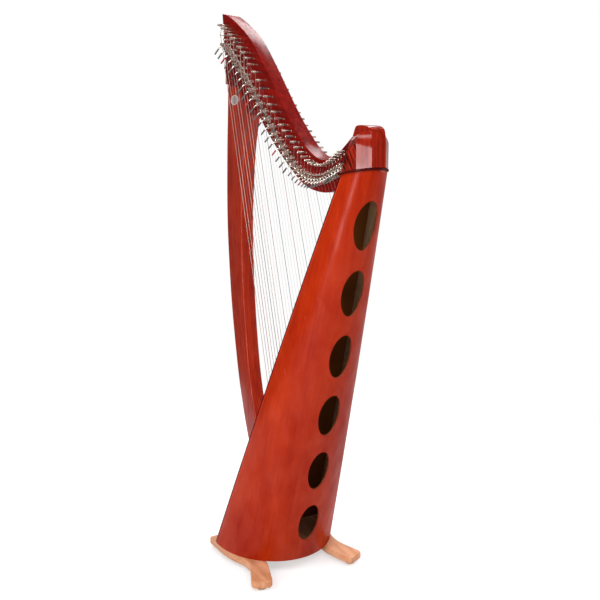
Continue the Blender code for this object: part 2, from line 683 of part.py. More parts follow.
def string_shape(index):
    """One string: from the rib past the lever, round the bridge pin and up to the tuning pin."""
    radius = string_radius(index)
    bridge = bridge_level(index)
    reach = BRIDGE_RADIUS + radius + GAP
    wrap = PIN_RADIUS + radius + GAP
    last = pin_centre(index) - STRING_ACROSS * wrap
    turn = last - bridge
    angle = math.acos(float(turn @ STRING_UP) / float(np.linalg.norm(turn)))
    corner = bridge + STRING_UP * reach * math.tan(angle / 2)
    foot = place_on_board(string_level(index), RIB_FACE)
    bridge_y = string_y(index)
    run = np.linalg.norm(corner - foot)
    sink = STRING_SINK / run
    start = place(foot - (corner - foot) * sink, BOARD_STRING_Y - (bridge_y - BOARD_STRING_Y) * sink)
    return tube([start, place(corner, bridge_y), place(last, bridge_y)], radius, 6)


def strings():
    """All strings, carried by the rib on the soundboard."""
    high = 1 - (RIB_MARGIN + cap_drop(RIB_FACE)) / BOARD_LENGTH
    rib = board_layer("strings_and_rib", rib_low(), high, BOARD_FACE + GAP, RIB_FACE,
                      lambda share: (BOARD_STRING_Y - RIB_HALF_WIDTH, BOARD_STRING_Y + RIB_HALF_WIDTH),
                      BEECH, 0.5, 2)
    combine(rib, merge([string_shape(index) for index in range(STRING_COUNT)]), "UNION")


def housing(index):
    """Plate, pivot pin and fret of one lever, on the neck's left face."""
    scale = lever_size(index)[0]
    pivot, level = pivot_point(index), string_level(index)
    across, along = STRING_ACROSS * scale, STRING_UP * scale
    left, right = level - across * PLATE_BASS_SIDE, level + across * PLATE_TREBLE_SIDE
    low, high = -along * PLATE_DOWN, along * PLATE_UP
    plate = np.array([left + low, right + low, right + high, left + high])
    far, near = level - across * (FRET_CLEARANCE + FRET_WIDTH), level - across * FRET_CLEARANCE
    foot, head = along * (FRET_LIFT - FRET_LENGTH / 2), along * (FRET_LIFT + FRET_LENGTH / 2)
    fret = np.array([far + foot, near + foot, near + head, far + head])
    middle = PLATE_FACE_Y + PLATE_THICK / 2
    tip = string_y(index) - HUB_PAST - PIVOT_PROUD
    return (slab(plate, PLATE_FACE_Y, PLATE_THICK - NECK_HALF),
            slab(fret, string_y(index) - FRET_PROUD, middle),
            rod(place(pivot, middle), place(pivot, tip), PIVOT_RADIUS * scale, 6))


def neck():
    """Curved neck with its tuning pins, bridge pins and lever housings."""
    made = piece("neck", slab(neck_outline(), -NECK_HALF, NECK_HALF, NECK_EASE), WOOD_DARK)
    plates, others = [], []
    for index in range(STRING_COUNT):
        plate, fret, pivot = housing(index)
        plates.append(plate)
        others += [fret, pivot]
        for centre, start, past, radius in (
                (pin_centre(index), NECK_HALF + PIN_RIGHT, PIN_PAST, PIN_RADIUS),
                (bridge_centre(index), BRIDGE_RADIUS - NECK_HALF, BRIDGE_PAST, BRIDGE_RADIUS)):
            others.append(rod(place(centre, start), place(centre, string_y(index) - past), radius, 6))
    combine(made, merge(plates), "UNION")
    combine(made, merge(others), "UNION")
    shade(made)


def lever_mesh(scale, reach, height):
    """Lever about its own pivot: bored hub, cam nose and a bent handle that rises away from the neck."""
    outer = -NECK_HALF - height - HUB_PAST
    angles = HANDLE_REST + CAM_LEAD + np.arange(HUB_SIDES) * 2 * math.pi / HUB_SIDES
    radii = np.full(HUB_SIDES, HUB_RADIUS)
    radii[0] = CAM_REACH
    hub = np.column_stack([radii * np.cos(angles), radii * np.sin(angles)]) * scale
    lever = piece("lever_blank", slab(hub, outer, HUB_INNER_Y), STEEL)
    direction = np.array([math.cos(HANDLE_REST), math.sin(HANDLE_REST)])
    root_y = outer + HANDLE_RADIUS * scale + GAP
    handle = [place(direction * HANDLE_ROOT * scale, root_y),
              place(direction * HANDLE_KNEE * scale, root_y - KNEE_RISE * scale),
              place(direction * reach, root_y - HANDLE_RISE * scale)]
    combine(lever, tube(handle, HANDLE_RADIUS * scale, 4), "UNION")
    bore = (PIVOT_RADIUS * scale + GAP) / math.cos(math.pi / 6)
    combine(lever, rod((0, HUB_INNER_Y + GAP, 0), (0, outer - GAP, 0), bore, 6), "DIFFERENCE")
    shade(lever)
    mesh = lever.data
    bpy.data.objects.remove(lever)
    return mesh


def levers():
    """One lever for each string, turning on its pivot. C levers are red and F levers black."""
    meshes = {size: lever_mesh(*size) for size in {lever_size(index) for index in range(STRING_COUNT)}}
    notes = "ABCDEFG"
    for index in range(STRING_COUNT):
        colour = SLEEVE_COLOURS.get(notes[index % len(notes)], SLEEVE_COLOURS["A"])
        lever = piece("lever_{:02d}".format(index + 1), None, colour, 0.4, 0.0, meshes[lever_size(index)])
        lever.location = place(pivot_point(index), 0)


def foot_rail(side, sign):
    """Beech rail under the box with a toe at each end."""
    rings = []
    stations = smooth(RAIL_STATIONS, 2)
    stations[:, 1] = TOE_HALF_WIDTH - stations[:, 1]
    heading = np.gradient(stations[:, :2], axis=0)
    heading /= np.linalg.norm(heading, axis=1)[:, None]
    for (x, y, width, top, under), (run, rise) in zip(stations, heading):
        across = np.array([-rise, run])
        top = min(top, RIM_Z - GAP)
        ring = []
        for reach, z in ((width / 2 - RAIL_EASE, under), (width / 2, under + RAIL_EASE),
                         (width / 2, top - RAIL_EASE), (width / 2 - RAIL_EASE, top),
                         (RAIL_EASE - width / 2, top), (-width / 2, top - RAIL_EASE),
                         (-width / 2, under + RAIL_EASE), (RAIL_EASE - width / 2, under)):
            point = np.array([x, y]) + across * reach
            ring.append((point[0], sign * point[1], z))
        rings.append(ring)
    piece("foot_rail_" + side, loft(rings), BEECH, 0.5)
    for end, (x, edge) in PAD_PLACES.items():
        y = sign * (TOE_HALF_WIDTH - edge)
        pad = rod((x, y, 0), (x, y, PAD_TOP_Z - GAP), PAD_FOOT_RADIUS, 20, PAD_RADIUS)
        shade(piece("pad_{}_{}".format(end, side), pad, BEECH, 0.6))


def centre_harp():
    """Move the harp so that the origin lies on the floor under the middle of its outline."""
    bpy.context.view_layer.update()
    corners = np.vstack([[made.matrix_world @ vertex.co for vertex in made.data.vertices]
                         for made in bpy.data.objects if made.type == "MESH"])
    low, high = corners.min(axis=0), corners.max(axis=0)
    bpy.data.objects["harp"].location = (-(low[0] + high[0]) / 2, -(low[1] + high[1]) / 2, -low[2])


def build():
    """Clear the scene and make every piece of the harp."""
    for old in list(bpy.data.objects):
        bpy.data.objects.remove(old)
    harp = bpy.data.objects.new("harp", None)
    bpy.context.scene.collection.objects.link(harp)
    soundbox_shell()
    vault_plug("base_board", 0, BASE_THICK / (BOARD_TOP[1] - RIM_Z), BEECH)
    vault_plug("top_block", 1 - TOP_BLOCK_THICK / BOARD_LENGTH, 1 - GAP / BOARD_LENGTH, BEECH)
    spacing = (HOLE_LAST - HOLE_FIRST) / (HOLE_COUNT - 1)
    brace("brace_lower", (HOLE_FIRST + 1.5 * spacing) / BOARD_LENGTH)
    brace("brace_upper", (HOLE_FIRST + 3.5 * spacing) / BOARD_LENGTH)
    soundboard()
    cap_plate()
    shoulder_block()
    neck()
    pillar()
    strings()
    levers()
    foot_rail("left", -1)
    foot_rail("right", 1)
    centre_harp()


build()
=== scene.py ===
"""Looks of the lever harp: its surfaces, its fine metalwork, and a plain studio.

Lengths are metres in the frame's own axes. Points in the plane of the neck are (x, z) from the toe of
the soundboard. Every surface is a formula or an outline swept through space, evaluated on whole arrays.
"""

import json
import math

import bmesh
import bpy
import numpy as np
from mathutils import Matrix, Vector


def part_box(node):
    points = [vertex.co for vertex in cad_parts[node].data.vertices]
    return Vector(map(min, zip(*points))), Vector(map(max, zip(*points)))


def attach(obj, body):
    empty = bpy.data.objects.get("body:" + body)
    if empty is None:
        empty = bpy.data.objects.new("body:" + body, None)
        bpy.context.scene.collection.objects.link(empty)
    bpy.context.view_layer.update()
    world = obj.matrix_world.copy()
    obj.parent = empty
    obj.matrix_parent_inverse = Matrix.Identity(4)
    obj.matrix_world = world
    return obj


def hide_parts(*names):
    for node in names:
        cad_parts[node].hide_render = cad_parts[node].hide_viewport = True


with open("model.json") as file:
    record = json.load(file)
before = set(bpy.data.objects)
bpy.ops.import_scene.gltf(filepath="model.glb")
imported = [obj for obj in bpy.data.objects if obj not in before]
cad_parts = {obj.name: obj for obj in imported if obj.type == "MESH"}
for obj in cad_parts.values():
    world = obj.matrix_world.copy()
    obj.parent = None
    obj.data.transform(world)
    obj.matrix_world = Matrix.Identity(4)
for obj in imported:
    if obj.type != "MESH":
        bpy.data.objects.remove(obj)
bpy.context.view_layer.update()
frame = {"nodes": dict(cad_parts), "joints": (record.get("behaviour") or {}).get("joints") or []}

# Places read from the frame
TOE_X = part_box("soundbox_shell")[0].x
PIVOTS = {joint["child"]: np.array(joint["pos_m"]) for joint in frame["joints"]}
LEVER_BODIES = sorted(PIVOTS)
COUNT = len(LEVER_BODIES)
ROOT = "frame"

# Soundbox
RIM_Z = 0.036
BOARD_TOP = np.array([0.454, 1.062])
TOE_HALF_WIDTH = 0.168
TOP_HALF_WIDTH = 0.052
SIDE_BULGE = 0.005
TOE_DEPTH = 0.190
TOP_DEPTH = 0.060
TOP_TILT = math.radians(9.3)
SHELL_WALL = 0.006
GAP = 0.0003  # clearance between neighbouring pieces
BOARD_FACE = 0.0043  # faces are distances out of the soundboard's back plane
STRIP_FACE = 0.0086
STRIP_WIDTH = 0.010
RIB_FACE = 0.0096
HOLE_PLACES = np.linspace(0.1234, 0.9907, 6)
HOLE_WIDTH = 0.059
HOLE_HEIGHT = 0.118
HOLE_CUT = (-0.025, 0.012)  # reach of a hole's cutting shape, into the box and out of it

# Cap plate and shoulder block. Corners of the block are (behind the board's top, half width, above it),
# and the hook's outline is (behind the neck's end, above it)
CAP_THICK = 0.008
CAP_FOOT = 0.003
CAP_OVERHANG = 0.004
CAP_EASE = 0.002
SHOULDER_FRONT_HALF = 0.039
SHOULDER_FRONT_RISE = 0.043
SHOULDER_SIDE = np.array([0.038, 0.042, 0.066])
SHOULDER_REAR = np.array([0.062, 0.018, 0.055])
CREST_SIDE = np.array([0.026, 0.018, 0.0935])
CREST_REAR = np.array([0.053, 0.0175, 0.100])
HOOK = [(0.000, 0.000), (0.005, 0.0105), (0.011, 0.0205), (0.020, 0.024), (0.038, 0.0235),
        (0.054, 0.0215), (0.064, 0.017), (0.070, 0.010), (0.0715, 0.002)]
HOOK_DEPTH = 0.046
HOOK_EASE = 0.0016

# Neck and pillar
NECK_HALF = 0.019
NECK_EASE = 0.0008
PILLAR_HALF = 0.020
PILLAR_EASE = 0.005
HEAD_FRONT = [(-0.221, 1.307), (-0.2195, 1.356), (-0.226, 1.424), (-0.235, 1.500)]
RIDGE = [(-0.235, 1.500), (-0.195, 1.488), (-0.122, 1.451), (-0.048, 1.402), (0.031, 1.325),
         (0.134, 1.217), (0.207, 1.151), (0.259, 1.115), (0.316, 1.096), (0.375, 1.107),
         (0.441, 1.146)]
UNDERSIDE = [(0.430, 1.066), (0.395, 1.0375), (0.360, 1.025), (0.317, 1.021), (0.260, 1.028),
             (0.210, 1.046), (0.154, 1.080), (0.090, 1.124), (0.030, 1.173), (0.000, 1.200),
             (-0.030, 1.224), (-0.058, 1.230), (-0.074, 1.215)]
SCARF_KNEE = (-0.130, 1.290)
PILLAR_STATIONS = [  # front edge x, z and rear edge x, z, from the head to the toe
    (-0.203, 1.335, -0.050, 1.290), (-0.2055, 1.285, -0.070, 1.228), (-0.210, 1.220, -0.090, 1.175),
    (-0.2175, 1.125, -0.1075, 1.105), (-0.2235, 0.980, -0.125, 0.965), (-0.221, 0.860, -0.128, 0.850),
    (-0.206, 0.700, -0.121, 0.720), (-0.184, 0.570, -0.107, 0.597), (-0.157, 0.450, -0.087, 0.485),
    (-0.121, 0.340, -0.056, 0.380), (-0.080, 0.245, -0.018, 0.285), (-0.030, 0.140, 0.030, 0.185),
    (0.015, 0.045, 0.075, 0.090)]
BADGE_CENTRE = np.array([-0.159, 1.259])
BADGE_SIZE = np.array([0.025, 0.0135])
BADGE_FACE_Y = -0.0208
BADGE_RIM = [  # depth behind the badge's face, and share of its size
    (0.0020, 1.0), (0.0003, 1.0), (0.0000, 0.97), (-0.0001, 0.91), (0.0001, 0.85), (0.0007, 0.82)]
BADGE_FIELD = [(0.0007, 0.82), (0.0005, 0.5), (0.0004, 0.05)]

# Strings and the hardware rows
PIN_ROW = [(-0.205, 1.466), (-0.112, 1.413), (-0.027, 1.349), (0.043, 1.279), (0.109, 1.214),
           (0.185, 1.152), (0.262, 1.100), (0.310, 1.085), (0.360, 1.088), (0.430, 1.119)]
PIN_LEAD = 0.018  # from a string's line across to its tuning pin
PIN_RADIUS = 0.0024
PIN_SEAT = 0.004  # depth in the neck at which both ends of a tuning pin start
PIN_PAST = 0.014  # length past the string's height, on the left
PIN_RIGHT = 0.021  # length off the neck, on the right
BRIDGE_RADIUS = 0.0020
BRIDGE_PAST = 0.0025
BRIDGE_RISES = (0.012, 0.030)  # from a lever's pivot up to its bridge pin, treble and bass
STRING_LEAN = math.radians(13.8)
BOARD_STRING_Y = -0.010
STRING_SINK = 0.002  # depth in the rib at which a string starts
RIB_HALF = 0.012
RIB_BEVEL = (0.0015, 0.0025)  # off the rib's face and off its sides
RIB_ENDS = (0.020, 0.0293)  # past the lowest string, and short of the board's top
EYELET = np.array([  # height on the rib, and distance from its string's side
    (-0.0004, 0.0018), (0.0004, 0.0017), (0.0007, 0.0012), (0.0005, 0.0006), (-0.0004, 0.0004)])
STRING_RADII = np.linspace(0.0008, 0.00035, COUNT)
WOUND_STRINGS = 8
PIN_TURNS = 5.5
PIN_WOUND = 0.0105  # length of a tuning pin that its string covers
NOTES = ["ABCDEFG"[number % 7] for number in range(COUNT)]
NOTE_COLOURS = {"C": "red", "F": "black"}

# Levers come in three sizes: strings, scale, handle's reach, strings' height off the neck
LEVER_SIZES = [(10, 1.3, 0.031, 0.017), (10, 1.15, 0.026, 0.014), (16, 1.0, 0.021, 0.011)]
SCALE, REACH, HEIGHT = np.array([size[1:] for size in LEVER_SIZES for lever in range(size[0])]).T
STRING_Y = -NECK_HALF - HEIGHT
PIVOT_OFFSET = 0.006  # from a string across to its lever's pivot, times the scale
PLATE_THICK = 0.0025
PLATE_FACE_Y = -NECK_HALF - PLATE_THICK
PLATE_CENTRE = (0.0020, -0.0005)  # places on a plate: across and up from its string, times the scale
PLATE_HALF = (0.0059, 0.0094)
PLATE_CORNER = 0.0018
SCREW_PLACES = [(0.0036, -0.0076), (0.0036, 0.0064)]
SCREW_HEAD = [(0, 0.0018), (0.0006, 0.0017), (0.0010, 0.0011), (0.0011, 0.0004)]
FRET_PLACE = (-0.0022, 0.0055)
HUB_RADIUS = 0.0042
HUB_WAIST = 0.0034
HUB_BORE = 0.0018
HUB_PAST = 0.0055  # length past the string's height
CAM_SWELL = 0.0007
CAM_LEAD = math.radians(30.8)  # from the handle round to the cam
HANDLE_REST = math.radians(238)
HANDLE_BEND = 0.0090  # reach at which the sleeve starts
HANDLE_RISE = np.array([0.0, 0.0018, 0.0050, 0.0084, 0.0113])
STEM_RADII = (0.0018, 0.0010)
SLEEVE_RADIUS = 0.0017

# Feet: x, inset from the box's side, width, top z, underside z
RAIL_STATIONS = [
    (-0.062, 0.030, 0.044, 0.0275, 0.010), (-0.054, 0.030, 0.054, 0.0285, 0.010),
    (-0.036, 0.030, 0.054, 0.0305, 0.010), (-0.010, 0.0285, 0.050, 0.0350, 0.0115),
    (0.030, 0.029, 0.048, 0.0357, 0.013), (0.070, 0.037, 0.047, 0.0357, 0.013),
    (0.110, 0.0505, 0.047, 0.0357, 0.013), (0.150, 0.0535, 0.048, 0.0352, 0.0125),
    (0.178, 0.046, 0.050, 0.0325, 0.011), (0.205, 0.0355, 0.053, 0.0300, 0.010),
    (0.226, 0.0275, 0.054, 0.0285, 0.010), (0.235, 0.024, 0.044, 0.0275, 0.010)]
RAIL_EASE = 0.004
PADS = {"front": (-0.040, 0.138), "rear": (0.2145, 0.1365)}
PAD_PROFILE = [(0, 0.0125), (0.0006, 0.0133), (0.0040, 0.0143), (0.0085, 0.0150), (0.0097, 0.0147)]

# Camera and lamps, round a point in the middle of the harp
LOOK_AT = np.array([0.1767 + TOE_X, 0.0, 0.7421])
CAMERA_PLACE = {"azimuth": 60.525, "elevation": 10.205, "distance": 2.0415}
CAMERA_LENS = 47.84
CAMERA_SENSOR = 36.0
LAMPS = {  # azimuth, elevation, distance, size and power
    "tall_key": (28, -2, 2.3, (0.35, 1.5), 20),
    "block_key": (40, 8.5, 2.44, (0.5, 0.45), 9),
    "front_fill": (78, 40, 2.4, (1.1, 1.1), 26),
    "rear_fill": (156, 14, 2.4, (0.8, 1.2), 17),
    "edge_light": (-113, 30, 2.3, (0.5, 0.6), 9),
    "rim_light": (-128, 56, 2.56, (1.0, 1.0), 32),
    "shoulder_light": (-94, 77, 2.16, (0.6, 0.6), 10),
    "roll_key": (20, 40, 2.55, (0.7, 1.1), 20)}

# Light of the room on wood and in its gloss, the way to the bright wall, and the paper under the harp
WHITE = (1.0, 1.0, 1.0)
BLACK = (0.0, 0.0, 0.0)
PLAIN_LIGHT = (0.42, 0.42, 0.43)
DARK_ROOM = (0.14, 0.13, 0.12)
BRIGHT_WALL = (-0.30, 0.85, -0.45)
PAPER_TONE = (0.56, 0.56, 0.56)
PAPER_GLOW = (0.52, 0.52, 0.52)
PAPER_RADIUS = 1.7
PAPER_HOLE = 0.0002

# Worked out from the sizes above
BOARD_TOE = np.array([0.0, RIM_Z])
BOARD_LENGTH = float(np.hypot(*(BOARD_TOP - BOARD_TOE)))
BOARD_UP = (BOARD_TOP - BOARD_TOE) / BOARD_LENGTH
BOARD_OUT = np.array([-BOARD_UP[1], BOARD_UP[0]])
CAP_ALONG = np.array([math.cos(TOP_TILT), math.sin(TOP_TILT)])
CAP_UP = np.array([-math.sin(TOP_TILT), math.cos(TOP_TILT)])
STRING_UP = np.array([-math.sin(STRING_LEAN), math.cos(STRING_LEAN)])
STRING_ACROSS = np.array([math.cos(STRING_LEAN), math.sin(STRING_LEAN)])
BOARD_LEAN = math.degrees(math.atan2(BOARD_UP[0], BOARD_UP[1]))
NECK_FOOT, NECK_HEAD = np.array(UNDERSIDE[0]), np.array(RIDGE[-1])  # where it ends at the block
SIDES = (("left", -1), ("right", 1))


# Shader maths

class Field:
    """A value that varies over a surface. Sums, differences and products of fields make math nodes."""

    def __init__(self, nodes, socket):
        self.nodes = nodes
        self.socket = socket

    def __add__(self, other):
        return self.nodes.math("ADD", self, other)

    def __sub__(self, other):
        return self.nodes.math("SUBTRACT", self, other)

    def __rsub__(self, other):
        return self.nodes.math("SUBTRACT", other, self)

    def __mul__(self, other):
        return self.nodes.math("MULTIPLY", self, other)

    __radd__ = __add__
    __rmul__ = __mul__


class Nodes:
    """A node tree under construction, with one method that makes any node."""

    def __init__(self, tree, surface):
        self.tree = tree
        self.surface = tree.nodes[surface]

    def node(self, kind, settings=None, output=0, **inputs):
        """Make a shader node, set its properties, feed its inputs and return one output as a field.

        An input goes by its name, with underscores for spaces, or by the letter i and its number.
        """
        made = self.tree.nodes.new("ShaderNode" + kind)
        for key, value in (settings or {}).items():
            setattr(made, key, value)
        for key, value in inputs.items():
            socket = made.inputs[int(key[1:]) if key[1:].isdigit() else key.replace("_", " ")]
            if isinstance(value, Field):
                self.tree.links.new(value.socket, socket)
            else:
                socket.default_value = value
        return Field(self, made.outputs[output])

    def math(self, operation, first, second):
        """One math operation on fields or numbers."""
        return self.node("Math", {"operation": operation}, i0=first, i1=second)

    def ramp(self, field, low, high):
        """Field stretched so that low becomes 0 and high becomes 1, and clamped."""
        return self.node("MapRange", {"clamp": True}, Value=field, From_Min=low, From_Max=high)

    def blend(self, factor, first, second):
        """Mix of two colours, each a field or its red, green and blue."""
        settings = {"data_type": "RGBA", "clamp_factor": True}
        first, second = (part if isinstance(part, Field) else (*part, 1.0) for part in (first, second))
        return self.node("Mix", settings, output=2, i0=factor, i6=first, i7=second)

    def feed(self, socket, field):
        """Let a field drive a socket of the surface."""
        self.tree.links.new(field.socket, self.surface.inputs[socket])

    def seen(self):
        """1 for what the camera sees, straight or through metal's reflection and glass, otherwise 0."""
        rays = ("Is Camera Ray", "Is Glossy Ray", "Is Transmission Ray")
        camera, glossy, through = (self.node("LightPath", output=ray) for ray in rays)
        return self.math("MAXIMUM", self.math("MAXIMUM", camera, glossy), through)


class Finish(Nodes):
    """A material, whose pattern follows the wood or metal in object coordinates."""

    def __init__(self, name, **constants):
        self.material = bpy.data.materials.new(name)
        self.material.use_nodes = True
        super().__init__(self.material.node_tree, "Principled BSDF")
        for socket, value in constants.items():
            self.surface.inputs[socket.replace("_", " ")].default_value = value

    def spot(self, turn=0.0, squeeze=1.0):
        """Object coordinates, turned about the side axis and then squeezed along the upright one."""
        plain = self.node("TexCoord", output="Object")
        settings = {"rotation_type": "EULER_XYZ"}
        turned = self.node("VectorRotate", settings, Vector=plain, Rotation=(0, turn, 0))
        return self.node("VectorMath", {"operation": "MULTIPLY"}, i0=turned, i1=(1, 1, squeeze))

    def noise(self, scale, detail, roughness=0.55, distortion=0.0, turn=0.0, squeeze=1.0):
        """Noise that a turn lays along the grain and a squeeze below 1 draws out along it."""
        return self.node("TexNoise", Vector=self.spot(turn, squeeze), Scale=scale, Detail=detail,
                         Roughness=roughness, Distortion=distortion)

    def bump(self, height, distance):
        """Relief from a field of 0 to 1, as deep as the distance."""
        self.feed("Normal", self.node("Bump", Height=height, Distance=distance, Strength=1.0))


def tinted(colour, share, lift=0.0):
    """A colour times a share, plus the same lift in red, green and blue."""
    return tuple(value * share + lift for value in colour)


def stained_wood(name, dark, light, lean, gloss, coat, grain=0.3, cloud=0.5, fine=150.0, back=None):
    """Stained and lacquered timber: cloudy stain, long grain, fine pores, scratches and a clear coat.

    The grain leans from the upright by an angle in the plane of the neck. The tone is a half, plus clouds
    and streaks by their weights. Where a back colour is given, it takes over at the soundboard's rear face.
    """
    finish = Finish(name, Coat_Roughness=gloss, Coat_IOR=1.5, Specular_IOR_Level=0.0)
    turn = -math.radians(lean)
    patch = finish.noise(11.0, 3.0, 0.5, turn=turn, squeeze=0.35)
    figure = finish.noise(26.0, 4.0, 0.65, 0.4, turn=turn, squeeze=0.5)
    streak = finish.noise(fine, 4.0, 0.6, turn=turn, squeeze=0.045)
    pore = finish.noise(900.0, 2.0, 0.5, turn=turn, squeeze=0.06)
    scratch = finish.noise(160.0, 1.0, 0.3, turn=turn + 0.5, squeeze=0.14)
    clouds = (patch - 0.5) * (3.2 * cloud) + (figure - 0.5) * (1.6 * cloud)
    colour = finish.blend(0.5 + clouds + (streak - 0.5) * (6.0 * grain), dark, light)
    colour = finish.blend(finish.ramp(pore, 0.56, 0.72) * grain, colour, tinted(dark, 0.35))
    colour = finish.blend(finish.ramp(scratch, 0.77, 0.82) * 0.15, colour, tinted(light, 0.8, 0.12))
    if back:
        out = finish.node("VectorMath", {"operation": "DOT_PRODUCT"}, output="Value",
                          i0=finish.spot(), i1=(BOARD_OUT[0], 0, BOARD_OUT[1]))
        face = BOARD_OUT @ (BOARD_TOE + [TOE_X, 0])
        colour = finish.blend(finish.ramp(out, face + GAP, face + 2 * GAP), back, colour)
    finish.feed("Base Color", colour)
    finish.feed("Roughness", 0.42 + streak * 0.14)
    finish.feed("Coat Weight", coat * (0.55 + finish.ramp(figure, 0.30, 0.70) * 0.9))
    finish.bump(streak * 0.5 + pore * 0.2, 0.00006)
    return finish.material


def bare_wood(name, dark, light, lean, roughness=0.5, flecks=0.5, coat=0.12):
    """Unstained timber: pale growth bands along the grain with short darker flecks."""
    finish = Finish(name, Coat_Roughness=0.3, Coat_Weight=coat, Specular_IOR_Level=0.2)
    turn = -math.radians(lean)
    band = finish.noise(60.0, 4.0, 0.6, 0.4, turn=turn, squeeze=0.05)
    fleck = finish.noise(420.0, 1.5, 0.4, turn=turn, squeeze=0.18)
    tone = finish.ramp(band * 0.7 + finish.noise(12.0, 2.0) * 0.3, 0.38, 0.62)
    spots = finish.ramp(fleck, 0.60, 0.70) * flecks
    finish.feed("Base Color", finish.blend(spots, finish.blend(tone, dark, light), tinted(dark, 0.6)))
    finish.feed("Roughness", roughness + fleck * 0.1)
    finish.bump(band * 0.4 + fleck * 0.3, 0.0001)
    return finish.material


def metal(name, bright, dull, roughness, metallic=1.0, patches=140.0):
    """Plated metal with patches of slight tarnish and fine wear in its gloss."""
    finish = Finish(name, Metallic=metallic)
    tarnish = finish.ramp(finish.noise(patches, 3.0), 0.42, 0.62)
    wear = finish.noise(500.0, 3.0, 0.6)
    finish.feed("Base Color", finish.blend(tarnish, bright, dull))
    finish.feed("Roughness", roughness + tarnish * 0.12 + wear * 0.08)
    finish.bump(wear, 0.00003)
    return finish.material


def plastic(name, colour, roughness=0.3, coat=0.3):
    """Moulded sleeve or felt with a faint mottle."""
    finish = Finish(name, Coat_Weight=coat, Coat_Roughness=0.2)
    mottle = finish.noise(300.0, 2.0)
    finish.feed("Base Color", finish.blend(finish.ramp(mottle, 0.4, 0.6), colour, tinted(colour, 0.7)))
    finish.feed("Roughness", roughness + mottle * 0.1)
    finish.bump(mottle, 0.00002)
    return finish.material


def string_finish(name, colour, metallic=0.0, wound=False, alpha=1.0):
    """String: smooth gut or clear nylon, or a fine metal winding from bands along its length."""
    finish = Finish(name, Metallic=metallic, Alpha=alpha)
    mottle = finish.noise(220.0, 2.0)
    finish.feed("Base Color", finish.blend(mottle, colour, tinted(colour, 0.7)))
    finish.feed("Roughness", 0.3 + mottle * 0.1)
    if wound:
        turns = finish.node("TexWave", {"bands_direction": "Z"}, Vector=finish.spot(), Scale=700.0)
        finish.bump(turns, 0.0001)
    return finish.material


# Finishes: colours are red, green and blue, leans are degrees, and gloss is the roughness of the coat
STAINED_WOODS = {
    "box_red": dict(dark=(0.25, 0.007, 0.001), light=(0.44, 0.030, 0.002), lean=17,
        gloss=0.26, coat=0.29, grain=0.12, cloud=0.45),
    "pillar_red": dict(dark=(0.20, 0.008, 0.003), light=(0.40, 0.028, 0.007), lean=-6,
        gloss=0.24, coat=0.6),
    "neck_red": dict(dark=(0.08, 0.001, 0.001), light=(0.24, 0.005, 0.002), lean=100,
        gloss=0.22, coat=0.30, grain=0.35, cloud=0.4, fine=110.0),
    "block_red": dict(dark=(0.10, 0.003, 0.001), light=(0.36, 0.016, 0.004), lean=0,
        gloss=0.16, coat=0.55, cloud=0.1, fine=260.0),
    "flare_red": dict(dark=(0.03, 0.001, 0.001), light=(0.40, 0.020, 0.006), lean=-40,
        gloss=0.2, coat=0.3, grain=0.7, cloud=0.1),
    "trim_red": dict(dark=(0.02, 0.001, 0.001), light=(0.07, 0.004, 0.003), lean=BOARD_LEAN,
        gloss=0.18, coat=0.12),
    "board_red": dict(dark=(0.32, 0.010, 0.004), light=(0.50, 0.030, 0.009), lean=BOARD_LEAN,
        gloss=0.2, coat=0.4, grain=0.4, back=(0.24, 0.075, 0.016))}
BARE_WOODS = {
    "inside": dict(dark=(0.11, 0.032, 0.008), light=(0.16, 0.046, 0.012), lean=17,
        roughness=0.7, coat=0.0),
    "hole_edge": dict(dark=(0.20, 0.030, 0.012), light=(0.30, 0.050, 0.018), lean=0),
    "beech": dict(dark=(0.50, 0.19, 0.085), light=(0.72, 0.36, 0.20), lean=90,
        roughness=0.42, flecks=0.35),
    "beech_up": dict(dark=(0.50, 0.20, 0.09), light=(0.72, 0.37, 0.21), lean=BOARD_LEAN,
        roughness=0.42, flecks=0.35),
    "spruce": dict(dark=(0.48, 0.30, 0.14), light=(0.60, 0.40, 0.22), lean=BOARD_LEAN,
        roughness=0.6, flecks=0.1)}
METALS = {
    "nickel": dict(bright=(0.98, 0.92, 0.84), dull=(0.46, 0.37, 0.32), roughness=0.10,
        metallic=0.8, patches=420.0),
    "steel": dict(bright=(0.62, 0.46, 0.38), dull=(0.30, 0.20, 0.16), roughness=0.16, patches=300.0),
    # Near-black finish of the lever pivots: painted shade that stands in for their dark sockets and the gaps
    # between the levers
    "socket": dict(bright=(0.05, 0.04, 0.035), dull=(0.02, 0.016, 0.014), roughness=0.3),
    "brass": dict(bright=(0.72, 0.60, 0.46), dull=(0.50, 0.40, 0.30), roughness=0.3),
    "badge_rim": dict(bright=(0.80, 0.78, 0.75), dull=(0.60, 0.58, 0.56), roughness=0.35, metallic=0.35),
    "badge_field": dict(bright=(0.42, 0.42, 0.42), dull=(0.30, 0.30, 0.30), roughness=0.4, metallic=0.35)}
PLASTICS = {
    "sleeve_red": dict(colour=(0.36, 0.008, 0.014)),
    "sleeve_black": dict(colour=(0.012, 0.012, 0.014)),
    "sleeve_grey": dict(colour=(0.10, 0.085, 0.08), roughness=0.25),
    "felt": dict(colour=(0.60, 0.37, 0.22), roughness=0.7, coat=0.0)}
STRING_FINISHES = {
    "string_clear": dict(colour=(0.42, 0.38, 0.36), alpha=0.22),
    "string_red": dict(colour=(0.36, 0.09, 0.08), alpha=0.8),
    "string_black": dict(colour=(0.03, 0.035, 0.045)),
    "string_wound": dict(colour=(0.55, 0.42, 0.36), metallic=0.7, wound=True)}
MATERIALS = {
    name: make(name, **look)
    for make, looks in ((stained_wood, STAINED_WOODS), (bare_wood, BARE_WOODS), (metal, METALS),
                        (plastic, PLASTICS), (string_finish, STRING_FINISHES))
    for name, look in looks.items()}


# Shapes

WELD = 0.00002  # corners nearer than this are one where a piece is welded


